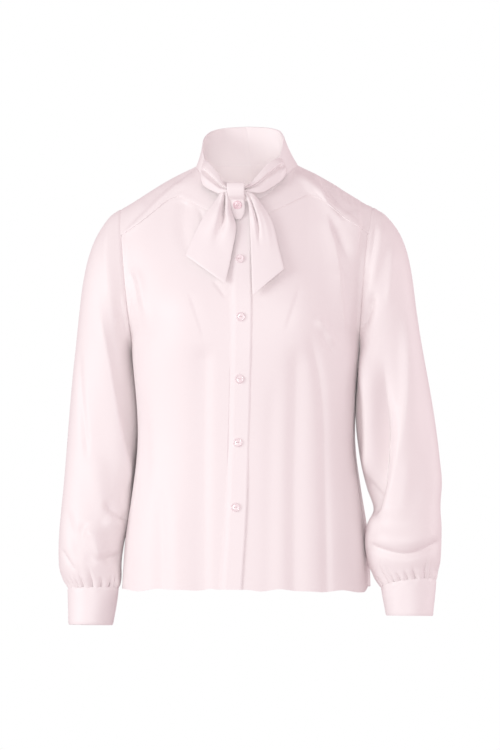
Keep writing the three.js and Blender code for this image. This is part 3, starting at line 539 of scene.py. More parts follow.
def yoke_columns(side):
    """The yoke's outer edge on one side, from the placket over the shoulder to the middle of the back, and
    where each place of it meets the neckline and how much the yoke crowns between the two."""
    front = yoke_front_edge()
    tip = np.linspace(0, 1, 34)[1:-1]
    back = np.linspace(1, 0, 72)
    outer = np.concatenate([
        body_place(-1, side * front, 2 + 0 * front),
        armhole(blend(YOKE_ANGLE, 360 - YOKE_ANGLE, tip)) * [side, 1, 1],
        body_place(1, side * back, 2 + 0 * back),
    ])
    front_seat = follow_all(YOKE_FRONT_SEAT, "across", front)
    tip_seat = blend(82, 98, tip), blend(-9, 9, tip), 7 - 2.5 * np.sin(np.pi * tip)
    back_seat = follow_all(YOKE_BACK_SEAT, "across", back)
    return outer, *(np.concatenate(parts) for parts in zip(front_seat, tip_seat, back_seat))


YOKE_JOIN = 40


def front_normals(across):
    """The unit normals of a front along its top edge, pointing ahead."""
    edge = 2 + 0 * across
    run = body_place(-1, across + 0.01, edge) - body_place(-1, across - 0.01, edge)
    rise = body_place(-1, across, edge) - body_place(-1, across, edge - 0.02)
    normal = unit(np.cross(run, rise))
    return normal * -np.sign(normal[..., 1:2])


def yoke_part(side, share):
    """Half the yoke: straight from the neckline (share 0) to its outer edge (1), crowned by half a sine, and
    eased round the shoulder. Its front is bent to leave the front's surface level, by a cubic over the
    width of the join."""
    outer, neck, crown_y, crown_z = yoke_columns(side)
    inner = collar_place(side, neck, 0 * neck)
    crown = np.stack([0 * neck, crown_y, crown_z], -1)
    share = share[:, None, None]
    grid = inner + (outer - inner) * share + crown * np.sin(np.pi * share)
    grid = softened(grid, 1, YOKE_SOFTENING, np.sin(np.pi * share[..., 0]) + 0 * grid[..., 0])
    leave = unit(grid[1] - grid[0])
    across = yoke_front_edge()
    level = np.zeros_like(outer)
    level[:FRONT_COLUMNS] = front_normals(side * across) * (1 - ease(across, 0.97, 1))[:, None]
    gone = np.linalg.norm(grid - outer, axis=-1, keepdims=True)
    bend = gone * np.clip(1 - gone / YOKE_JOIN, 0, 1) ** 2
    return grid - level * (leave * level).sum(-1, keepdims=True) * bend


YOKE_FOLDS = [
    ([(74, 4), (72, -12), (71, -34)], 3.4, 3.4, -1.6, 0.3, 0.3, 0.3),
    ([(84, -2), (90, -14), (98, -34), (108, -52)], 8, 8, 1.6, 0.1, 0.3, 0.3),
    ([(-90, 2), (-96, -14), (-98, -28)], 8, 8, -1.4, 0.1, 0.3, 0.3),
    ([(-128, -30), (-140, -44), (-156, -56)], 8, 8, -1.5, 0.1, 0.3, 0.3),
]
SHOULDER_SEAM = [(105, -16), (128, -28), (149, -37), (172, -50), (182, -58)]


def yoke_sheet():
    """Both halves side by side, with folds on the front, swell, and the neck and outer seams. Where the
    left seam is hidden, the relief stands out along the front's own normals, so that the two run on."""
    share = np.linspace(1, 0, YOKE_ROWS)
    left, right = yoke_part(1, share), yoke_part(-1, share)
    grid = np.concatenate([left, right[:, ::-1][:, 1:]], 1)
    outer, inner, first, last = edge_distances(grid)
    relief = creases(grid[..., [0, 2]], YOKE_FOLDS) * ease(-grid[..., 1], 0, 20)
    relief += swell(grid[..., [0, 1]], 15, 120, 0.5)
    relief *= ease(outer, 1, FOLD_CLEAR) * ease(inner, 1, FOLD_CLEAR) * ease(first, 1, 5) * ease(last, 1, 5)
    across = yoke_front_edge()
    hidden = np.zeros(grid.shape[1])
    hidden[:FRONT_COLUMNS] = hidden_seam(across)
    through = creases(grid[..., [0, 2]], SHOULDER_FOLDS) * ease(-grid[..., 1], -12, 4)
    relief += through * blend(ease(outer, 1, FOLD_CLEAR), 1, hidden) * ease(inner, 1, FOLD_CLEAR)
    dip = crease(grid[..., [0, 2]], SHOULDER_SEAM, 1.1, 1.1, -0.5, 0, 0.1, 0.1)
    relief += dip * ease(-grid[..., 1], -12, 0)
    relief += seam_relief(outer) * (1 - hidden) + seam_relief(inner)
    normal = facing(grid)
    normal = normal * np.sign(normal[..., 2].sum())
    near = hidden * np.exp(-(outer / 20) ** 2)
    level = np.zeros_like(normal)
    level[:, :FRONT_COLUMNS] = front_normals(across)
    return grid + blend(normal, level, near[..., None]) * relief[..., None]


cloth_piece("yoke", yoke_sheet(), SATIN, "crepe_satin", "laid")

# The collar is a narrow stand, faced and pressed, sewn to the neckline and open at the throat. Its rim is
# a turned edge, understitched inside.
FACED_WALL = 1.8
COLLAR_COLUMNS = 150
FACED_SATIN = crepe_satin("crepe_satin_faced", (0.95, 0.905, 0.907), (0.938, 0.888, 0.892), 0.43)


def collar_band():
    """The collar's outer face from the neckline up, round from one throat edge over the back to the other."""
    half = np.linspace(THROAT_ANGLE, 180, COLLAR_COLUMNS)
    side = np.concatenate([np.ones(COLLAR_COLUMNS), -np.ones(COLLAR_COLUMNS - 1)])
    up, angle = spread(np.linspace(0, 1, 22), np.concatenate([half, half[-2::-1]]))
    grid = collar_place(side, angle, up)
    low, rim, _, _ = edge_distances(grid)
    relief = -0.5 * np.exp(-(low / 1.5) ** 2) - 0.5 * np.exp(-(rim / 1.2) ** 2)
    relief += 0.25 * np.cos((180 - angle) / 9) * ease(low, 2, 8)
    return stood_out(grid, relief, grid * [1, 0, 0])


cloth_piece("collar", collar_band(), FACED_SATIN, "crepe_satin_faced", "stretched", wall=FACED_WALL)

# The button stand is the under layer of the closing, folded and sewn to the left front. The placket is the
# upper layer on the right front: its left edge is turned in flush with the front, its right edge is free.
PLACKET_HALF = 15.8
PLACKET_WALL = 1.3
STAND_WALL = 1
LAY_GAP = 0.35
PLACKET_OUT = LAY_GAP + PLACKET_WALL


def middle_place(x, at, out):
    """The front's middle strip at a distance x from its middle line, from the hem (at 0) past the yoke seam
    (2) straight on to the neckline (3), moved out along the view."""
    low_at = np.minimum(at, 2)
    low = body_place(-1, across_at(-1, x, low_at), low_at)
    angle = follow({"x": NECK["x"][:2], "angle": NECK["angle"][:2]}, "x", "angle", np.abs(x))
    high = collar_place(np.sign(x), angle, 0 * angle)
    place = low + (high - low) * np.clip(at - 2, 0, 1)[..., None]
    return place - np.stack([0 * out, out, 0 * out], -1)


def middle_strip(low, high, out, columns, ripple):
    """A strip of the middle between two distances from its line, out mm proud of the fronts."""
    at, x = spread(
        np.concatenate([np.linspace(0, 2, 224), np.linspace(2, 2.97, 10)[1:]]),
        np.linspace(low, high, columns),
    )
    wave = ripple * (np.sin(at * 9.3) + 0.6 * np.sin(at * 21 + 1)) * ease(x, low + 8, high)
    return middle_place(x, at, out(x) + wave)


cloth_piece(
    "button_stand", middle_strip(-PANEL_EDGE + 1, PANEL_EDGE - 0.4, lambda x: 0 * x, 16, 0),
    FACED_SATIN, "crepe_satin_faced", "hung", flip=True, wall=STAND_WALL,
)
placket = middle_strip(
    -PLACKET_HALF, PLACKET_HALF,
    lambda x: blend(0.15, PLACKET_OUT + 0.5, ease(x, -PLACKET_HALF, -PLACKET_HALF + 11))
    - 0.7 * np.exp(-((PLACKET_HALF - x) / 1.1) ** 2),
    44, 0.12,
)
cloth_piece("placket", placket, FACED_SATIN, "crepe_satin_faced", "hung", flip=True, wall=PLACKET_WALL)

# The sleeves are full tubes of the same satin, set into the armholes with little ease and gathered at the
# bottom into the cuffs, over which their fullness droops.
SLEEVE_COLUMNS = "at outer_x outer_z inner_x inner_z front back lean"
LEFT_SLEEVE = table(SLEEVE_COLUMNS, [
    [0, 188, -61, 170, -268, -54, 54, 0], [1, 202.5, -68, 170.2, -277, -58, 57, 0],
    [2, 217, -83, 169.8, -287, -60, 59, 0], [3, 229.5, -103, 168.6, -299, -61, 60, 0],
    [4, 239, -130, 167.4, -313, -61, 59, 0], [5, 246, -165, 166.2, -329, -60, 58, 0],
    [6, 252, -210, 165, -347, -59, 57, 0], [7, 260, -262, 164.4, -368, -59, 57, 0.02],
    [8, 269.5, -318, 165.4, -391, -60, 56, 0.04], [9, 279, -376, 168.4, -416, -62, 52, 0.06],
    [10, 287, -432, 173.6, -446, -66, 45, 0.08], [11, 291, -470, 182, -478, -71, 38, 0.1],
    [12, 289, -505, 192, -509, -76, 31, 0.12], [13, 290.5, -535, 182.5, -533, -87, 25, 0.15],
    [14, 290, -559, 179.5, -557, -91, 20, 0.18], [15, 288, -583, 184, -586, -89, 13, 0.2],
    [16, 283, -601, 192.5, -606, -83, 4, 0.22], [17, 281.5, -611, 204, -622, -78, -8, 0.24],
    [18, 279.5, -636, 208, -641, -79, -14, 0.17], [19, 277, -663, 212, -663, -81, -20, 0.1],
])
RIGHT_SLEEVE = table(SLEEVE_COLUMNS, [
    [0, 188, -61, 170, -268, -54, 54, 0], [1, 202, -70, 170.2, -277, -58, 57, 0],
    [2, 216, -87, 169.8, -287, -60, 59, 0], [3, 228.5, -109, 168.6, -299, -61, 60, 0],
    [4, 238, -137, 167.4, -313, -61, 59, 0], [5, 245, -172, 166.2, -329, -60, 58, 0],
    [6, 250, -214, 165, -347, -59, 57, 0], [7, 255, -264, 163.8, -368, -59, 57, 0.02],
    [8, 260.5, -320, 163.6, -391, -60, 56, 0.04], [9, 265, -378, 165, -416, -62, 52, 0.06],
    [10, 268.5, -434, 168, -446, -66, 42, 0.08], [11, 271, -478, 170, -478, -72, 30, 0.1],
    [12, 273.5, -512, 172.3, -508, -79, 22, 0.11], [13, 275.5, -544, 176.6, -536, -85, 16, 0.12],
    [14, 276.5, -572, 182, -563, -87, 12, 0.12], [15, 275.5, -596, 185, -588, -85, 8, 0.12],
    [16, 269.5, -615, 185.5, -609, -81, 0, 0.12], [17, 261.5, -628, 189, -626, -76, -10, 0.12],
    [18, 260.5, -652, 192.5, -652, -77, -15, 0.12], [19, 259, -681, 197, -681, -80, -21, 0.12],
])
CUFF_TOP = 17
CUFF_FOOT = 19
ARMHOLE_CLEAR = 0.45
ARMHOLE_TUCK = -0.4
GATHERS = 19
GATHER_DEPTH = 2.7
SLEEVE_SIDES = 200
# Folds seen from the front, and those of the hidden half, in the same terms.
LEFT_SLEEVE_FOLDS = [
    ([(193, -186), (189, -208), (182, -228), (176, -246)], 8, 6, -7, 0.1, 0.3, 0.3),
    ([(203, -84), (201, -118), (193, -160), (184, -205)], 7, 5, 3, 0.1, 0.2, 0.3),
    ([(194, -82), (192, -112), (186, -150)], 3, 3, -1.5, 0.1, 0.3, 0.3),
    ([(220, -112), (217, -160), (212, -210)], 7, 6, 2.6, 0.1, 0.3, 0.3),
    (
        [(240, -196), (241, -270), (240, -347), (230, -421), (214, -495), (204, -530)],
        22, 9, 7, 0.15, 0.25, 0.2,
    ),
    (
        [(204, -270), (211, -330), (215, -380), (213, -421), (209, -451), (199, -495), (190, -520)],
        8, 26, -20, 0.3, 0.45, 0.2,
    ),
    ([(181, -262), (185, -310), (188, -370), (188, -430), (184, -480)], 16, 10, 16, 0.05, 0.35, 0.25),
    ([(262, -300), (268, -380), (272, -450)], 10, 14, -2.6, 0, 0.4, 0.4),
    ([(246, -420), (240, -470), (228, -530)], 12, 12, 3, 0.1, 0.3, 0.3),
    ([(190, -545), (210, -552), (238, -553), (268, -546), (288, -532)], 16, 10, 4.5, 0, 0.2, 0.2),
    ([(186, -556), (200, -562), (238, -570), (268, -563), (290, -550)], 4, 8, -5.5, 0.35, 0.15, 0.15),
]
RIGHT_SLEEVE_FOLDS = [
    (
        [(-190, -180), (-183, -215), (-178, -262), (-174, -320), (-171, -380), (-169, -430)],
        8, 9, -3, 0, 0.2, 0.25,
    ),
    (
        [(-214, -200), (-204, -262), (-195, -325), (-185, -392), (-176, -449), (-172, -484)],
        7, 18, 7, 0.45, 0.2, 0.25,
    ),
    ([(-246, -262), (-242, -330), (-234, -400), (-230, -440)], 5, 6, -2.6, 0.2, 0.3, 0.3),
    ([(-203, -84), (-205, -120), (-200, -170), (-196, -210)], 8, 7, 2.6, 0.1, 0.3, 0.3),
    ([(-218, -420), (-214, -470), (-204, -520)], 14, 14, 3, 0.1, 0.3, 0.3),
    ([(-206, -494), (-197, -508), (-184, -519), (-172, -527)], 9, 4, -4.5, 0.2, 0.3, 0.2),
    ([(-206, -520), (-192, -528), (-180, -534)], 11, 9, 4, 0, 0.4, 0.4),
    ([(-232, -530), (-220, -548), (-214, -568), (-208, -584)], 17, 6, 6.5, 0.1, 0.3, 0.3),
    ([(-228, -524), (-236, -548), (-228, -572), (-212, -590)], 5, 9, -3.6, 0.1, 0.25, 0.25),
    ([(-270, -566), (-257, -584), (-244, -602)], 3, 4, -2.6, 0.4, 0.25, 0.25),
    ([(-262, -500), (-256, -530), (-246, -560), (-238, -588)], 9, 9, -3.2, 0.1, 0.3, 0.3),
    ([(-206, -586), (-194, -580), (-182, -576)], 5, 6, -4, 0.1, 0.3, 0.2),
]
SLEEVE_BACK_FOLDS = [
    ([(214, -150), (206, -240), (200, -340), (206, -430)], 14, 17, -6, 0.1, 0.3, 0.3),
    ([(196, -120), (188, -190), (184, -270)], 8, 9, 3.4, 0.1, 0.3, 0.4),
    ([(240, -240), (244, -340), (236, -440), (226, -520)], 20, 14, 5, 0.1, 0.3, 0.3),
    ([(190, -420), (214, -470), (246, -500)], 10, 12, -4, 0.1, 0.3, 0.4),
    ([(200, -540), (232, -552), (266, -540)], 14, 7, 5, 0.1, 0.3, 0.3),
    ([(222, -350), (224, -430), (216, -500)], 9, 8, -3, 0.1, 0.4, 0.4),
]


def sleeve_place(side, at, angle, out=0):
    """A sleeve or cuff: each section is an ellipse tipped between its outer and inner ends, made boxier
    along the arm by a power, its front lifted or dropped by the lean. angle is that of the armhole; side
    is +1 on the wearer's left."""
    rows = LEFT_SLEEVE if side > 0 else RIGHT_SLEEVE
    outer_x, outer_z, inner_x, inner_z, front, back, lean = follow_all(rows, "at", at)
    away, ahead = -np.cos(np.radians(angle)), np.sin(np.radians(angle))
    ahead = np.sign(ahead) * np.abs(ahead) ** blend(1, 0.72, ease(at, 2, 6) * (1 - ease(at, 11, 15)))
    half_width = np.hypot(outer_x - inner_x, outer_z - inner_z) / 2
    half_depth = (back - front) / 2
    spread = 1 + out / half_width
    x = (outer_x + inner_x) / 2 + (outer_x - inner_x) / 2 * away * spread
    y = (front + back) / 2 - (half_depth + out) * ahead
    z = (outer_z + inner_z) / 2 + (outer_z - inner_z) / 2 * away * spread + lean * half_depth * ahead
    tuck = blend(ARMHOLE_TUCK, ARMHOLE_CLEAR, ease(at, 0, 0.3))
    return np.stack([side * (x + tuck), y, z], -1)


def gathers(at, angle, seed):
    """Gathers above the cuff: each is a rounded ridge between sharp valleys, the bend of |sin| to a power.
    Their places, depths and heights are drawn unevenly, and pass smoothly from one gather to the next."""
    draw = np.random.default_rng(seed)
    weights = np.cumsum(draw.uniform(0.6, 1.5, GATHERS))
    knots = np.concatenate([[0], weights / weights[-1] * 360])
    turn = np.interp(angle, knots, np.arange(GATHERS + 1))
    depth = draw.uniform(0.75, 1.25, GATHERS)
    height = draw.uniform(0.9, 1.7, GATHERS)
    height[draw.permutation(GATHERS)[:5]] += 1.6
    ring = np.arange(-1, GATHERS + 1) + 0.5
    depth, height = (np.interp(turn, ring, np.concatenate([v[-1:], v, v[:1]])) for v in (depth, height))
    bend = 2 * np.abs(np.sin(np.pi * turn)) ** 0.7 - 1.3
    return GATHER_DEPTH * depth * bend * ease(at, CUFF_TOP - height, CUFF_TOP - 0.15)


def sleeve_tube(side, folds, seed):
    """A sleeve from the armhole to the cuff's seam, with folds by what each half shows, and gathers."""
    at, angle = spread(
        np.concatenate([np.linspace(0, 12, 84), np.linspace(12, CUFF_TOP + 0.2, 72)[1:]]),
        np.linspace(0, 360, SLEEVE_SIDES + 1)[:-1],
    )
    grid = sleeve_place(side, at, angle)
    flat = grid[..., [0, 2]]
    behind = [([(side * x, z) for x, z in path], *rest) for path, *rest in SLEEVE_BACK_FOLDS]
    ahead, inward = np.sin(np.radians(angle)), np.cos(np.radians(angle))
    relief = creases(flat, folds) * ease(ahead, 0.02, 0.4) + creases(flat, behind) * ease(-ahead, 0.02, 0.4)
    relief += swell(flat + grid[..., [1, 1]] * 0.4, seed, 150, 0.8) * ease(-inward, -0.98, -0.7)
    top = edge_distances(grid)[0]
    relief = relief * ease(top, 1, 11) * (1 - 0.8 * ease(at, 16, CUFF_TOP)) + seam_relief(top, ARMHOLE_DIP)
    relief += gathers(at, angle, seed) - 1.6 * ease(at, CUFF_TOP - 0.3, CUFF_TOP + 0.2)
    return stood_out(grid, relief, grid - grid.mean(1, keepdims=True), loop=True)


for side, name, folds, seed in (
    (-1, "sleeve_right", RIGHT_SLEEVE_FOLDS, 31),
    (1, "sleeve_left", LEFT_SLEEVE_FOLDS, 12),
):
    cloth_piece(
        name, sleeve_tube(side, folds, seed), SATIN, "crepe_satin", "gathered", flip=side > 0, loop=True,
    )

# The cuffs are deep plain strips, faced and folded double, sewn over the gathered sleeve ends. Each laps
# over itself at the back of the wrist, where one button closes it.
CUFF_START = 236
CUFF_LAP = 34
CUFF_SEAM_DROP = 0.05
CUFF_EASE = 0.4
CUFF_LAP_RISE = 2.3


def cuff_place(side, at, turned, out=0):
    """The strip runs once round the wrist from its under end, and rises over itself where it laps."""
    lap = ease(turned, 300, 356) * CUFF_LAP_RISE
    return sleeve_place(side, at, CUFF_START + turned, CUFF_EASE + lap + out)


def cuff_strip(side, seed):
    """A cuff: rounded along its upper seam and its folded lower edge, with a slight roll between."""
    grid = cuff_place(side, *spread(
        np.linspace(CUFF_TOP + CUFF_SEAM_DROP, CUFF_FOOT, 28), np.linspace(0, 360 + CUFF_LAP, 190),
    ))
    top, foot, under, over = edge_distances(grid)
    relief = -1.1 * np.exp(-(top / 1.3) ** 2) - 0.9 * np.exp(-(foot / 1.3) ** 2)
    relief += -0.7 * np.exp(-(under / 1.3) ** 2) - 0.7 * np.exp(-(over / 1.3) ** 2)
    relief += swell(np.stack([over, top * 1.4], -1), seed, 60, 0.28) * ease(under, 0, 20) * ease(over, 0, 20)
    relief += 0.35 * np.sin(over / 3.1 + np.sin(over / 17)) * np.exp(-((top - 4) / 3) ** 2)
    return stood_out(grid, relief, grid - grid.mean(1, keepdims=True))


for side, name, seed in ((-1, "cuff_right", 5), (1, "cuff_left", 6)):
    cloth_piece(
        name, cuff_strip(side, seed), FACED_SATIN, "crepe_satin_faced", "folded",
        rests_on=[name.replace("cuff", "sleeve")], flip=side > 0, wall=FACED_WALL,
    )

# The necktie's bands are soft double strips sewn to the sides of the collar. They come forward round the
# neck, folded lengthwise in a hollow, and run together under the keeper tab.
TIE_WALL = 1.5
BAND_COLUMNS = "at up_x up_y up_z low_x low_y low_z"
LEFT_BAND = table(BAND_COLUMNS, [
    [0, 56, -29, 12, 64, -34, -5], [0.3, 49, -48, 10, 61, -50, -17], [0.6, 33, -63, -3, 45, -68, -33],
    [0.82, 19, -74, -21, 25, -80, -43], [0.93, 7, -80, -33, 9, -84, -42], [1, -4, -82, -36.5, -4, -84, -41.5],
])
RIGHT_BAND = table(BAND_COLUMNS, [
    [0, -62, -29, 11, -65, -36, -12], [0.3, -52, -49, 5, -61, -55, -27], [0.6, -37, -64, -12, -46, -71, -38],
    [0.82, -27, -75, -27, -31, -81, -43], [0.93, -19.5, -80, -33, -21, -84, -42],
    [1, -9, -82, -35.5, -9, -84, -41],
])
BAND_CROWN = 7.5
BAND_SLIT = {"across": 0.56, "width": 0.1, "depth": 12}
BAND_ROOT = {"angle_low": 60, "angle_up": 66, "up_low": 0.15, "up_up": 0.78, "reach": 0.2}


def band_place(side, at, across, out=0):
    """A band: straight between its lower and upper edges, swollen by a sine power and parted by a bell
    shaped hollow, and drawn to the side of the collar over the first reach of its length."""
    rows = LEFT_BAND if side > 0 else RIGHT_BAND
    up_x, up_y, up_z, low_x, low_y, low_z = follow_all(rows, "at", at)
    slit = BAND_SLIT["depth"] * np.exp(-((across - BAND_SLIT["across"]) / BAND_SLIT["width"]) ** 2)
    crown = BAND_CROWN * np.sin(np.pi * np.clip(across, 0, 1)) ** 0.8
    crown = crown * (1 - 0.55 * at) * ease(at, -0.16, 0.25)
    stand = out + crown - slit * ease(at, 0.08, 0.3) * (1 - 0.4 * at)
    turn = np.radians(side * blend(48, 6, at))
    root = collar_place(
        side, blend(BAND_ROOT["angle_low"], BAND_ROOT["angle_up"], across),
        blend(BAND_ROOT["up_low"], BAND_ROOT["up_up"], across), LAY_GAP + TIE_WALL + out,
    )
    free = np.stack([
        blend(low_x, up_x, across) + stand * np.sin(turn),
        blend(low_y, up_y, across) - stand * np.cos(turn),
        blend(low_z, up_z, across),
    ], -1)
    return root + (free - root) * ease(at, 0, BAND_ROOT["reach"])[..., None]


def tie_band(side):
    """A band as a grid along its length and across its width, with fine lengthwise pleats in the middle."""
    at, across = spread(np.linspace(0, 1, 80), np.linspace(0, 1, 60))
    pleat = 0.3 * np.sin(2 * np.pi * (across * 3.1 + 0.35 * at * side)) * ease(at, 0.05, 0.5)
    return band_place(side, at, across, pleat * np.sin(np.pi * across))


# The hanging ends are doubled strips widening to slanted points. They start at the bands' lower edges
# beside the tab, hold a soft lengthwise fold there, and lie on the front below.
TAIL_COLUMNS = "at in_x in_z out_x out_z in_off out_off"
LEFT_TAIL = table(TAIL_COLUMNS, [
    [0, 5, -41, 15, -42, 9.5, 9], [0.15, 12, -63, 27, -57, 8.5, 9], [0.4, 15, -98, 46, -88, 7, 8],
    [0.7, 18, -147, 56, -124, 7, 9], [1, 21, -194, 65, -156, 9, 12],
])
RIGHT_TAIL = table(TAIL_COLUMNS, [
    [0, -19.5, -42, -31, -42, 9, 9], [0.15, -16.5, -64, -40, -58, 6.4, 9], [0.42, -7, -96, -56, -81, 6.4, 8],
    [0.7, -12, -134, -69, -108, 7, 7], [1, -20, -177, -80, -135, 7, 7],
])
TAIL_SLITS = table("side top middle low width depth to", [
    [1, 0.15, 0.37, 0.33, 0.08, -10, 0.6], [-1, 0.28, 0.38, 0.45, 0.13, -14, 0.74],
])
TAIL_LEAST = 5.2
TAIL_ROOT_PLACES = {1: (0.955, 0.885), -1: (0.94, 0.825)}
TAIL_ROOT_REACH = 0.15
TAIL_ROOT_DROP = 0.55
TAIL_FOLDS = table("side across to width depth", [
    [1, 0.36, 0.62, 0.12, -6], [1, 0.72, 0.9, 0.16, 2.5],
    [-1, 0.42, 0.6, 0.12, -7], [-1, 0.22, 0.75, 0.12, 3], [-1, 0.7, 0.8, 0.16, 2.5],
])


def front_depth(x, z):
    """How far forward the plain front, or the yoke above it, lies at a place in the front view: the station
    with that height is found by halving."""
    low, high = 0 * x, 0 * x + 3

    def place(at):
        low_at = np.minimum(at, 2)
        across = across_at(-1, x, low_at)
        outer = body_place(-1, across, low_at)
        neck, crown_y, crown_z = follow_all(YOKE_FRONT_SEAT, "across", np.abs(across))
        share = np.clip(3 - at, 0, 1)[..., None]
        inner = collar_place(np.sign(x), neck, 0 * neck)
        crown = np.stack([0 * neck, crown_y, crown_z], -1) * np.sin(np.pi * share)
        return np.where((at <= 2)[..., None], outer, inner + (outer - inner) * share + crown)

    for _ in range(18):
        middle = (low + high) / 2
        below = place(middle)[..., 2] < z
        low, high = np.where(below, middle, low), np.where(below, high, middle)
    return place(low)[..., 1]


def rows_of(columns, side):
    """The rows of a table that are for one side, each as named numbers."""
    chosen = np.flatnonzero(columns["side"] == side)
    return [{name: values[i] for name, values in columns.items()} for i in chosen]


def tail_place(side, at, across, out=0):
    """A hanging end: straight across between its inner and outer edges in the front view, standing off
    the front by its edges' distances, a half sine and its folds, but never closer than it can lie."""
    rows = LEFT_TAIL if side > 0 else RIGHT_TAIL
    in_x, in_z, out_x, out_z, in_off, out_off = follow_all(rows, "at", at)
    x, z = blend(in_x, out_x, across), blend(in_z, out_z, across)
    fold = 0
    for row in rows_of(TAIL_FOLDS, side):
        bell = np.exp(-((across - row["across"]) / row["width"]) ** 2)
        fold = fold + row["depth"] * bell * (1 - ease(at, 0.1, row["to"]))
    off = blend(in_off, out_off, across) + 3 * np.sin(np.pi * across) * (1 - at) + fold
    off = np.maximum(off, TAIL_LEAST) + out
    free = np.stack([x, front_depth(x, z) - off, z], -1)
    inner, outer = TAIL_ROOT_PLACES[side]
    root = band_place(side, blend(inner, outer, across), 0 * across, out) - [0, 0, TAIL_ROOT_DROP]
    return root + (free - root) * ease(at, 0, TAIL_ROOT_REACH)[..., None]


def slits(side, at, across):
    """Narrow closed folds from the top of a hanging end: a bell curve round a line that shifts across it,
    between raised rims, a wider bell."""
    relief = 0
    for row in rows_of(TAIL_SLITS, side):
        line = {"at": np.array([0, 0.25, 0.5]), "place": np.array([row["top"], row["middle"], row["low"]])}
        off = (across - follow(line, "at", "place", at)) / row["width"]
        bell = np.exp(-off ** 2) - 0.6 * np.exp(-(off / 3) ** 2)
        relief = relief + row["depth"] * bell * ease(at, 0, 0.04) * (1 - ease(at, 0.4 * row["to"], row["to"]))
    return relief


def tie_tail(side):
    """A hanging end as a grid, with thin turned edges, a fine swell and narrow folds fanning from its top."""
    at, across = spread(np.linspace(0, 1, 94), np.linspace(0, 1, 58))
    grid = tail_place(side, at, across)
    _, end, inner, outer = edge_distances(grid)
    fan = 0.22 * np.sin(2 * np.pi * across * 4.2 + side) * ease(at, 0.1, 0.3) * (1 - ease(at, 0.3, 0.8))
    rim = sum(-0.7 * np.exp(-(distance / 1.2) ** 2) for distance in (end, inner, outer))
    soft = swell(grid[..., [0, 2]], 40 + side, 50, 0.4) * ease(at, 0.1, 0.4)
    return tail_place(side, at, across, fan + slits(side, at, across) + rim + soft)


for side, word in ((-1, "right"), (1, "left")):
    cloth_piece(
        f"tie_band_{word}", tie_band(side), FACED_SATIN, "crepe_satin_faced", "gathered",
        rests_on=["collar"], flip=side > 0, wall=TIE_WALL,
    )
    cloth_piece(
        f"tie_end_{word}", tie_tail(side), FACED_SATIN, "crepe_satin_faced", "hung",
        rests_on=[f"front_{word}"], flip=side > 0, wall=TIE_WALL,
    )

# The keeper tab is a small doubled strip from the collar over the crossed bands. Its round lower end
# buttons to the placket and holds the tie in place.
TAB = table("at x y z half", [
    [0, -7.5, -77, -29, 12.3], [0.1, -7.5, -88.7, -30, 12.5], [0.25, -7.4, -91.4, -37, 12.4],
    [0.42, -7, -89.5, -46, 11.4], [0.54, -6.4, -82.4, -53, 10.2], [0.7, -5.6, -81.6, -61, 10],
    [0.84, -4.8, -84, -70, 9.6], [0.93, -4.3, -87, -77, 8],
    [0.98, -4, -88.6, -80.5, 5], [1, -3.9, -89, -81.6, 2.6],
])
TAB_ROUND = 0.78
TAB_ROUND_HALF = 9.8
TAB_BUTTON = 0.7
TAB_BUTTON_OUT = -0.85


def tab_place(at, across):
    """The tab's middle line, and level across it to each side by its half width, which ends in an ellipse."""
    x, y, z, half = follow_all(TAB, "at", at)
    past = np.clip((at - TAB_ROUND) / (1 - TAB_ROUND), 0, 1)
    half = np.where(at > TAB_ROUND, TAB_ROUND_HALF * np.sqrt(1 - (0.98 * past) ** 2), half)
    return np.stack([x + across * half, y + 0 * across, z + 0 * across], -1)


def tab_sheet():
    """The tab, crowned a little across by a parabola, with turned edges."""
    at, across = spread(np.linspace(1, 0, 90), np.linspace(-1, 1, 44))
    grid = tab_place(at, across)
    end, _, left, right = edge_distances(grid)
    rim = sum(0.7 * np.exp(-(distance / 1.1) ** 2) for distance in (end, left, right))
    relief = 0.5 * (1 - across ** 2) - rim
    return grid - np.stack([0 * relief, relief, 0 * relief], -1)


cloth_piece(
    "keeper_tab", tab_sheet(), FACED_SATIN, "crepe_satin_faced", "folded",
    rests_on=["placket"], wall=FACED_WALL,
)

# Each button is a small pressed disc with a pearly face: a raised rim round a shallow dish, and two holes
# through which it is sewn. Six close the front and the tab, and one closes each cuff.
BUTTON_RADIUS = 6.6
CUFF_BUTTON_RADIUS = 5
BUTTON_HEIGHTS = [-141, -225.5, -315.5, -408, -502]
BUTTON_LIFT = 0.6
BUTTON_STEPS = 5
BUTTON_SIDES = 60
BUTTON_FACE = 8
BUTTON_PROFILE = np.array([
    [0, 0], [0.86, 0], [0.95, 0.05], [1, 0.17], [1, 0.24], [0.97, 0.34], [0.9, 0.41], [0.82, 0.42],
    [0.75, 0.385], [0.68, 0.325], [0.6, 0.3], [0.45, 0.285], [0.3, 0.277], [0.15, 0.273], [0, 0.272],
])
HOLE_SPACING = 0.2
HOLE_RADIUS = 0.095
HOLE_DEPTH = 0.16
THREAD_RADIUS = 0.13
ANY_WAY = [0.3, 0.5, 0.81]


def pearl(name, low, high):
    """Pearly plastic: milky pink with clouds that drift through it, under a clear glossy skin."""
    material, shader = principled(name, high, {
        "Roughness": 0.2, "Specular IOR Level": 0.55, "Coat Weight": 0.6, "Coat Roughness": 0.08,
    })
    tree = material.node_tree
    place = node(tree, "TexCoord", {})
    clouds = node(tree, "TexNoise", {"Scale": 190, "Detail": 4, "Distortion": 1.6})
    ramp = node(tree, "ValToRGB", {})
    for stop, position, colour in zip(ramp.color_ramp.elements, (0.35, 0.65), (low, high)):
        stop.position = position
        stop.color = (*colour, 1)
    tree.links.new(place.outputs["Object"], clouds.inputs["Vector"])
    tree.links.new(clouds.outputs["Fac"], ramp.inputs[0])
    tree.links.new(ramp.outputs[0], shader.inputs["Base Color"])
    return material


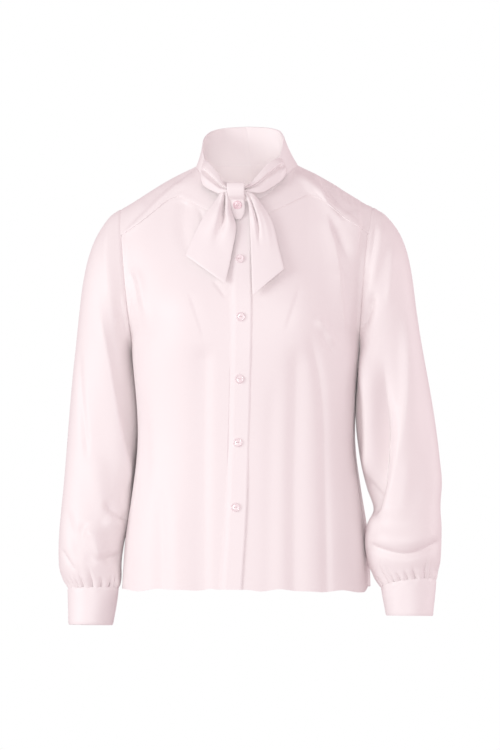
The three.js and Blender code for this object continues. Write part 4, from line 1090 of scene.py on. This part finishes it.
PEARL = pearl("pearl_button", (0.9, 0.77, 0.8), (0.97, 0.9, 0.91))
PINK_PEARL = pearl("pearl_button_tab", (0.8, 0.56, 0.62), (0.94, 0.8, 0.83))
THREAD, _ = principled("sewing_thread", (0.9, 0.74, 0.76), {"Roughness": 0.7, "Sheen Weight": 0.4})


def turned(profile, count):
    """A profile of radius and height carried round the Y axis, its first and last places on the axis."""
    angle = np.linspace(0, 2 * np.pi, count, endpoint=False)[None]
    radius, height = profile[:, :1], profile[:, 1:]
    return np.stack([radius * np.cos(angle), height + 0 * angle, radius * np.sin(angle)], -1)


def button(name, radius, seat, facing_way, material=PEARL):
    """A button turned about its own axis, then laid on its seat with its face along facing_way. Its two
    holes are round dips in the dish, a bell curve each."""
    steps = np.linspace(0, 1, BUTTON_STEPS, endpoint=False)[:, None]
    spans = zip(BUTTON_PROFILE[:-1], BUTTON_PROFILE[1:])
    profile = np.concatenate([blend(a, b, steps) for a, b in spans] + [BUTTON_PROFILE[-1:]])
    grid = turned(profile, BUTTON_SIDES)
    away = np.hypot(np.abs(grid[..., 0]) - HOLE_SPACING, grid[..., 2])
    front = np.arange(len(grid))[:, None] > BUTTON_FACE * BUTTON_STEPS
    grid[..., 1] -= HOLE_DEPTH * np.exp(-(away / HOLE_RADIUS) ** 4) * front
    forward = unit(facing_way)
    right = unit(np.cross([0, 0, 1], forward))
    turn = np.stack([right, forward, np.cross(right, forward)])
    index = np.arange(grid[..., 0].size).reshape(grid.shape[:2])
    index = np.concatenate([index, index[:, :1]], 1)
    quads = np.stack([c.ravel() for c in quad_corners(index)], -1)
    raised = seat + forward * BUTTON_LIFT
    piece = new_piece(f"{name}_pearl", grid * radius @ turn + raised, quads, material)
    piece.modifiers.new("poles", "WELD").merge_threshold = 0.00001
    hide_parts(name)
    thread(f"{name}_thread", thread_places(radius) @ turn + raised)


def thread_places(radius):
    """Four strands of thread side by side, each an arch from one hole over the dish to the other."""
    share = np.linspace(0, 1, 13)[:, None]
    strand = np.array([-0.06, -0.02, 0.02, 0.06])[None]
    x = HOLE_SPACING * (2 * share - 1) + 0 * strand
    y = 0.2 + 0.11 * np.sin(np.pi * share) ** 0.5 + 0 * strand
    z = strand * (0.5 + 0.5 * np.sin(np.pi * share))
    return np.stack([x, y, z], -1).swapaxes(0, 1) * radius


def thread(name, strands):
    """Round threads along rows of places, six sided, with their ends buried."""
    run = unit(np.gradient(strands, axis=1))
    side = unit(np.cross(run, ANY_WAY))
    up = np.cross(run, side)
    angle = np.linspace(0, 2 * np.pi, 6, endpoint=False)[:, None]
    ring = np.cos(angle) * side[:, :, None] + np.sin(angle) * up[:, :, None]
    count, length = strands.shape[:2]
    index = np.arange(count * length * 6).reshape(count, length, 6)
    index = np.concatenate([index, index[..., :1]], -1)
    quads = [index[:, :-1, :-1], index[:, :-1, 1:], index[:, 1:, 1:], index[:, 1:, :-1]]
    quads = np.stack([q.ravel() for q in quads], -1)
    new_piece(name, strands[:, :, None] + THREAD_RADIUS * ring, quads, THREAD)


def placket_seat(at):
    """A button's seat on the placket's middle line, and the way it faces."""
    at = at + np.array([0, -0.02, 0.02])
    seat, low, high = middle_place(0 * at, at, PLACKET_OUT + 0 * at)
    return seat, np.cross([1, 0, 0], high - low)


ROWS_BY_HEIGHT = {"z": FRONT["height"], "at": FRONT["at"]}
for number, height in enumerate(BUTTON_HEIGHTS, 2):
    at = float(follow(ROWS_BY_HEIGHT, "z", "at", np.array(float(height))))
    button(f"button_{number}", BUTTON_RADIUS, *placket_seat(at))

tab_seat, tab_above, tab_below = tab_place(TAB_BUTTON + np.array([0, -0.03, 0.03]), np.zeros(3))
tab_way = np.cross([1, 0, 0], tab_above - tab_below)
button("button_1", BUTTON_RADIUS, tab_seat + [0, TAB_BUTTON_OUT, 0], tab_way, PINK_PEARL)

for side, word in ((-1, "right"), (1, "left")):
    at = (CUFF_TOP + CUFF_FOOT) / 2 + np.array([0, 0, 0, 0.1, -0.1])
    seat, ahead, behind, down, up = cuff_place(side, at, 360 + CUFF_LAP / 2 + np.array([0, 4, -4, 0, 0]))
    way = np.cross(ahead - behind, down - up) * (-1 if side > 0 else 1)
    button(f"cuff_button_{word}", CUFF_BUTTON_RADIUS, seat, way)

# The studio: a wide white floor, a bright white surround, one broad soft light from the viewer's left and
# one from the front, a weaker one from the right and behind for the sleeve's edge, and a dim one inside
# the neck for the daylight that comes through thin satin. The camera stands level with the blouse's middle.
FLOOR_Z = -0.9
VIEW_TURN = np.radians(5.5)
VIEW_DISTANCE = 3.6
VIEW_HEIGHT = -0.31
VIEW_SHIFT = 0.0048
VIEW_LENS = 115.2
VIEW_SENSOR = 36


def white_floor():
    """A disc of plain white that lights nothing else."""
    material = bpy.data.materials.new("floor_white")
    material.use_nodes = True
    tree = material.node_tree
    tree.nodes.remove(tree.nodes["Principled BSDF"])
    glow = node(tree, "Emission", {})
    tree.links.new(glow.outputs[0], tree.nodes["Material Output"].inputs["Surface"])
    bpy.ops.mesh.primitive_circle_add(vertices=96, radius=30, fill_type="NGON", location=(0, 0, FLOOR_Z))
    floor = bpy.context.object
    floor.name = "floor"
    floor.data.materials.append(material)
    floor.visible_diffuse = False
    floor.visible_glossy = False


def surround(colour):
    """A white world: full white behind the object, and softer and warmer where it lights it."""
    world = bpy.data.worlds.new("surround")
    bpy.context.scene.world = world
    world.use_nodes = True
    tree = world.node_tree
    path = node(tree, "LightPath", {})
    choice = node(tree, "Mix", {MIX_FROM: (*colour, 1), MIX_TO: (1, 1, 1, 1)})
    choice.data_type = "RGBA"
    tree.links.new(path.outputs["Is Camera Ray"], choice.inputs[0])
    tree.links.new(choice.outputs[MIX_COLOUR], tree.nodes["Background"].inputs["Color"])


def softbox(name, place, size, power, colour=(1, 1, 1), aim=(0, 0, -0.33)):
    """A square area light that points at the blouse."""
    data = bpy.data.lights.new(name, "AREA")
    data.size = size
    data.energy = power
    data.color = colour
    light = bpy.data.objects.new(name, data)
    bpy.context.collection.objects.link(light)
    light.location = place
    direction = mathutils.Vector(aim) - light.location
    light.rotation_euler = direction.to_track_quat("-Z", "Y").to_euler()


def camera():
    """A long lens at the photograph's angle; its vertical field is 1125 mm at the blouse's middle."""
    data = bpy.data.cameras.new("camera")
    data.lens = VIEW_LENS
    data.sensor_fit = "VERTICAL"
    data.sensor_height = VIEW_SENSOR
    data.sensor_width = VIEW_SENSOR
    data.clip_end = 100
    view = bpy.data.objects.new("camera", data)
    bpy.context.collection.objects.link(view)
    right = mathutils.Vector((np.cos(VIEW_TURN), np.sin(VIEW_TURN), 0))
    back = mathutils.Vector((np.sin(VIEW_TURN), -np.cos(VIEW_TURN), 0))
    view.location = right * VIEW_SHIFT + back * VIEW_DISTANCE + mathutils.Vector((0, 0, VIEW_HEIGHT))
    view.rotation_euler = (-back).to_track_quat("-Z", "Y").to_euler()
    bpy.context.scene.camera = view


white_floor()
surround((0.645, 0.505, 0.536))
softbox("key", (-2.7, -2.0, 0.05), 1.6, 38, (0.89, 1, 0.972))
softbox("front", (0.4, -4.1, -0.25), 1.2, 40, (0.89, 1, 0.972))
softbox("edge", (2.9, 0.6, 0.05), 1.8, 19)
softbox("through_cloth", (0, -0.02, -0.17), 0.1, 0.11, (1, 0.95, 0.95), (0, 0.06, -0.01))
camera()
bpy.context.scene.view_settings.view_transform = "Standard"
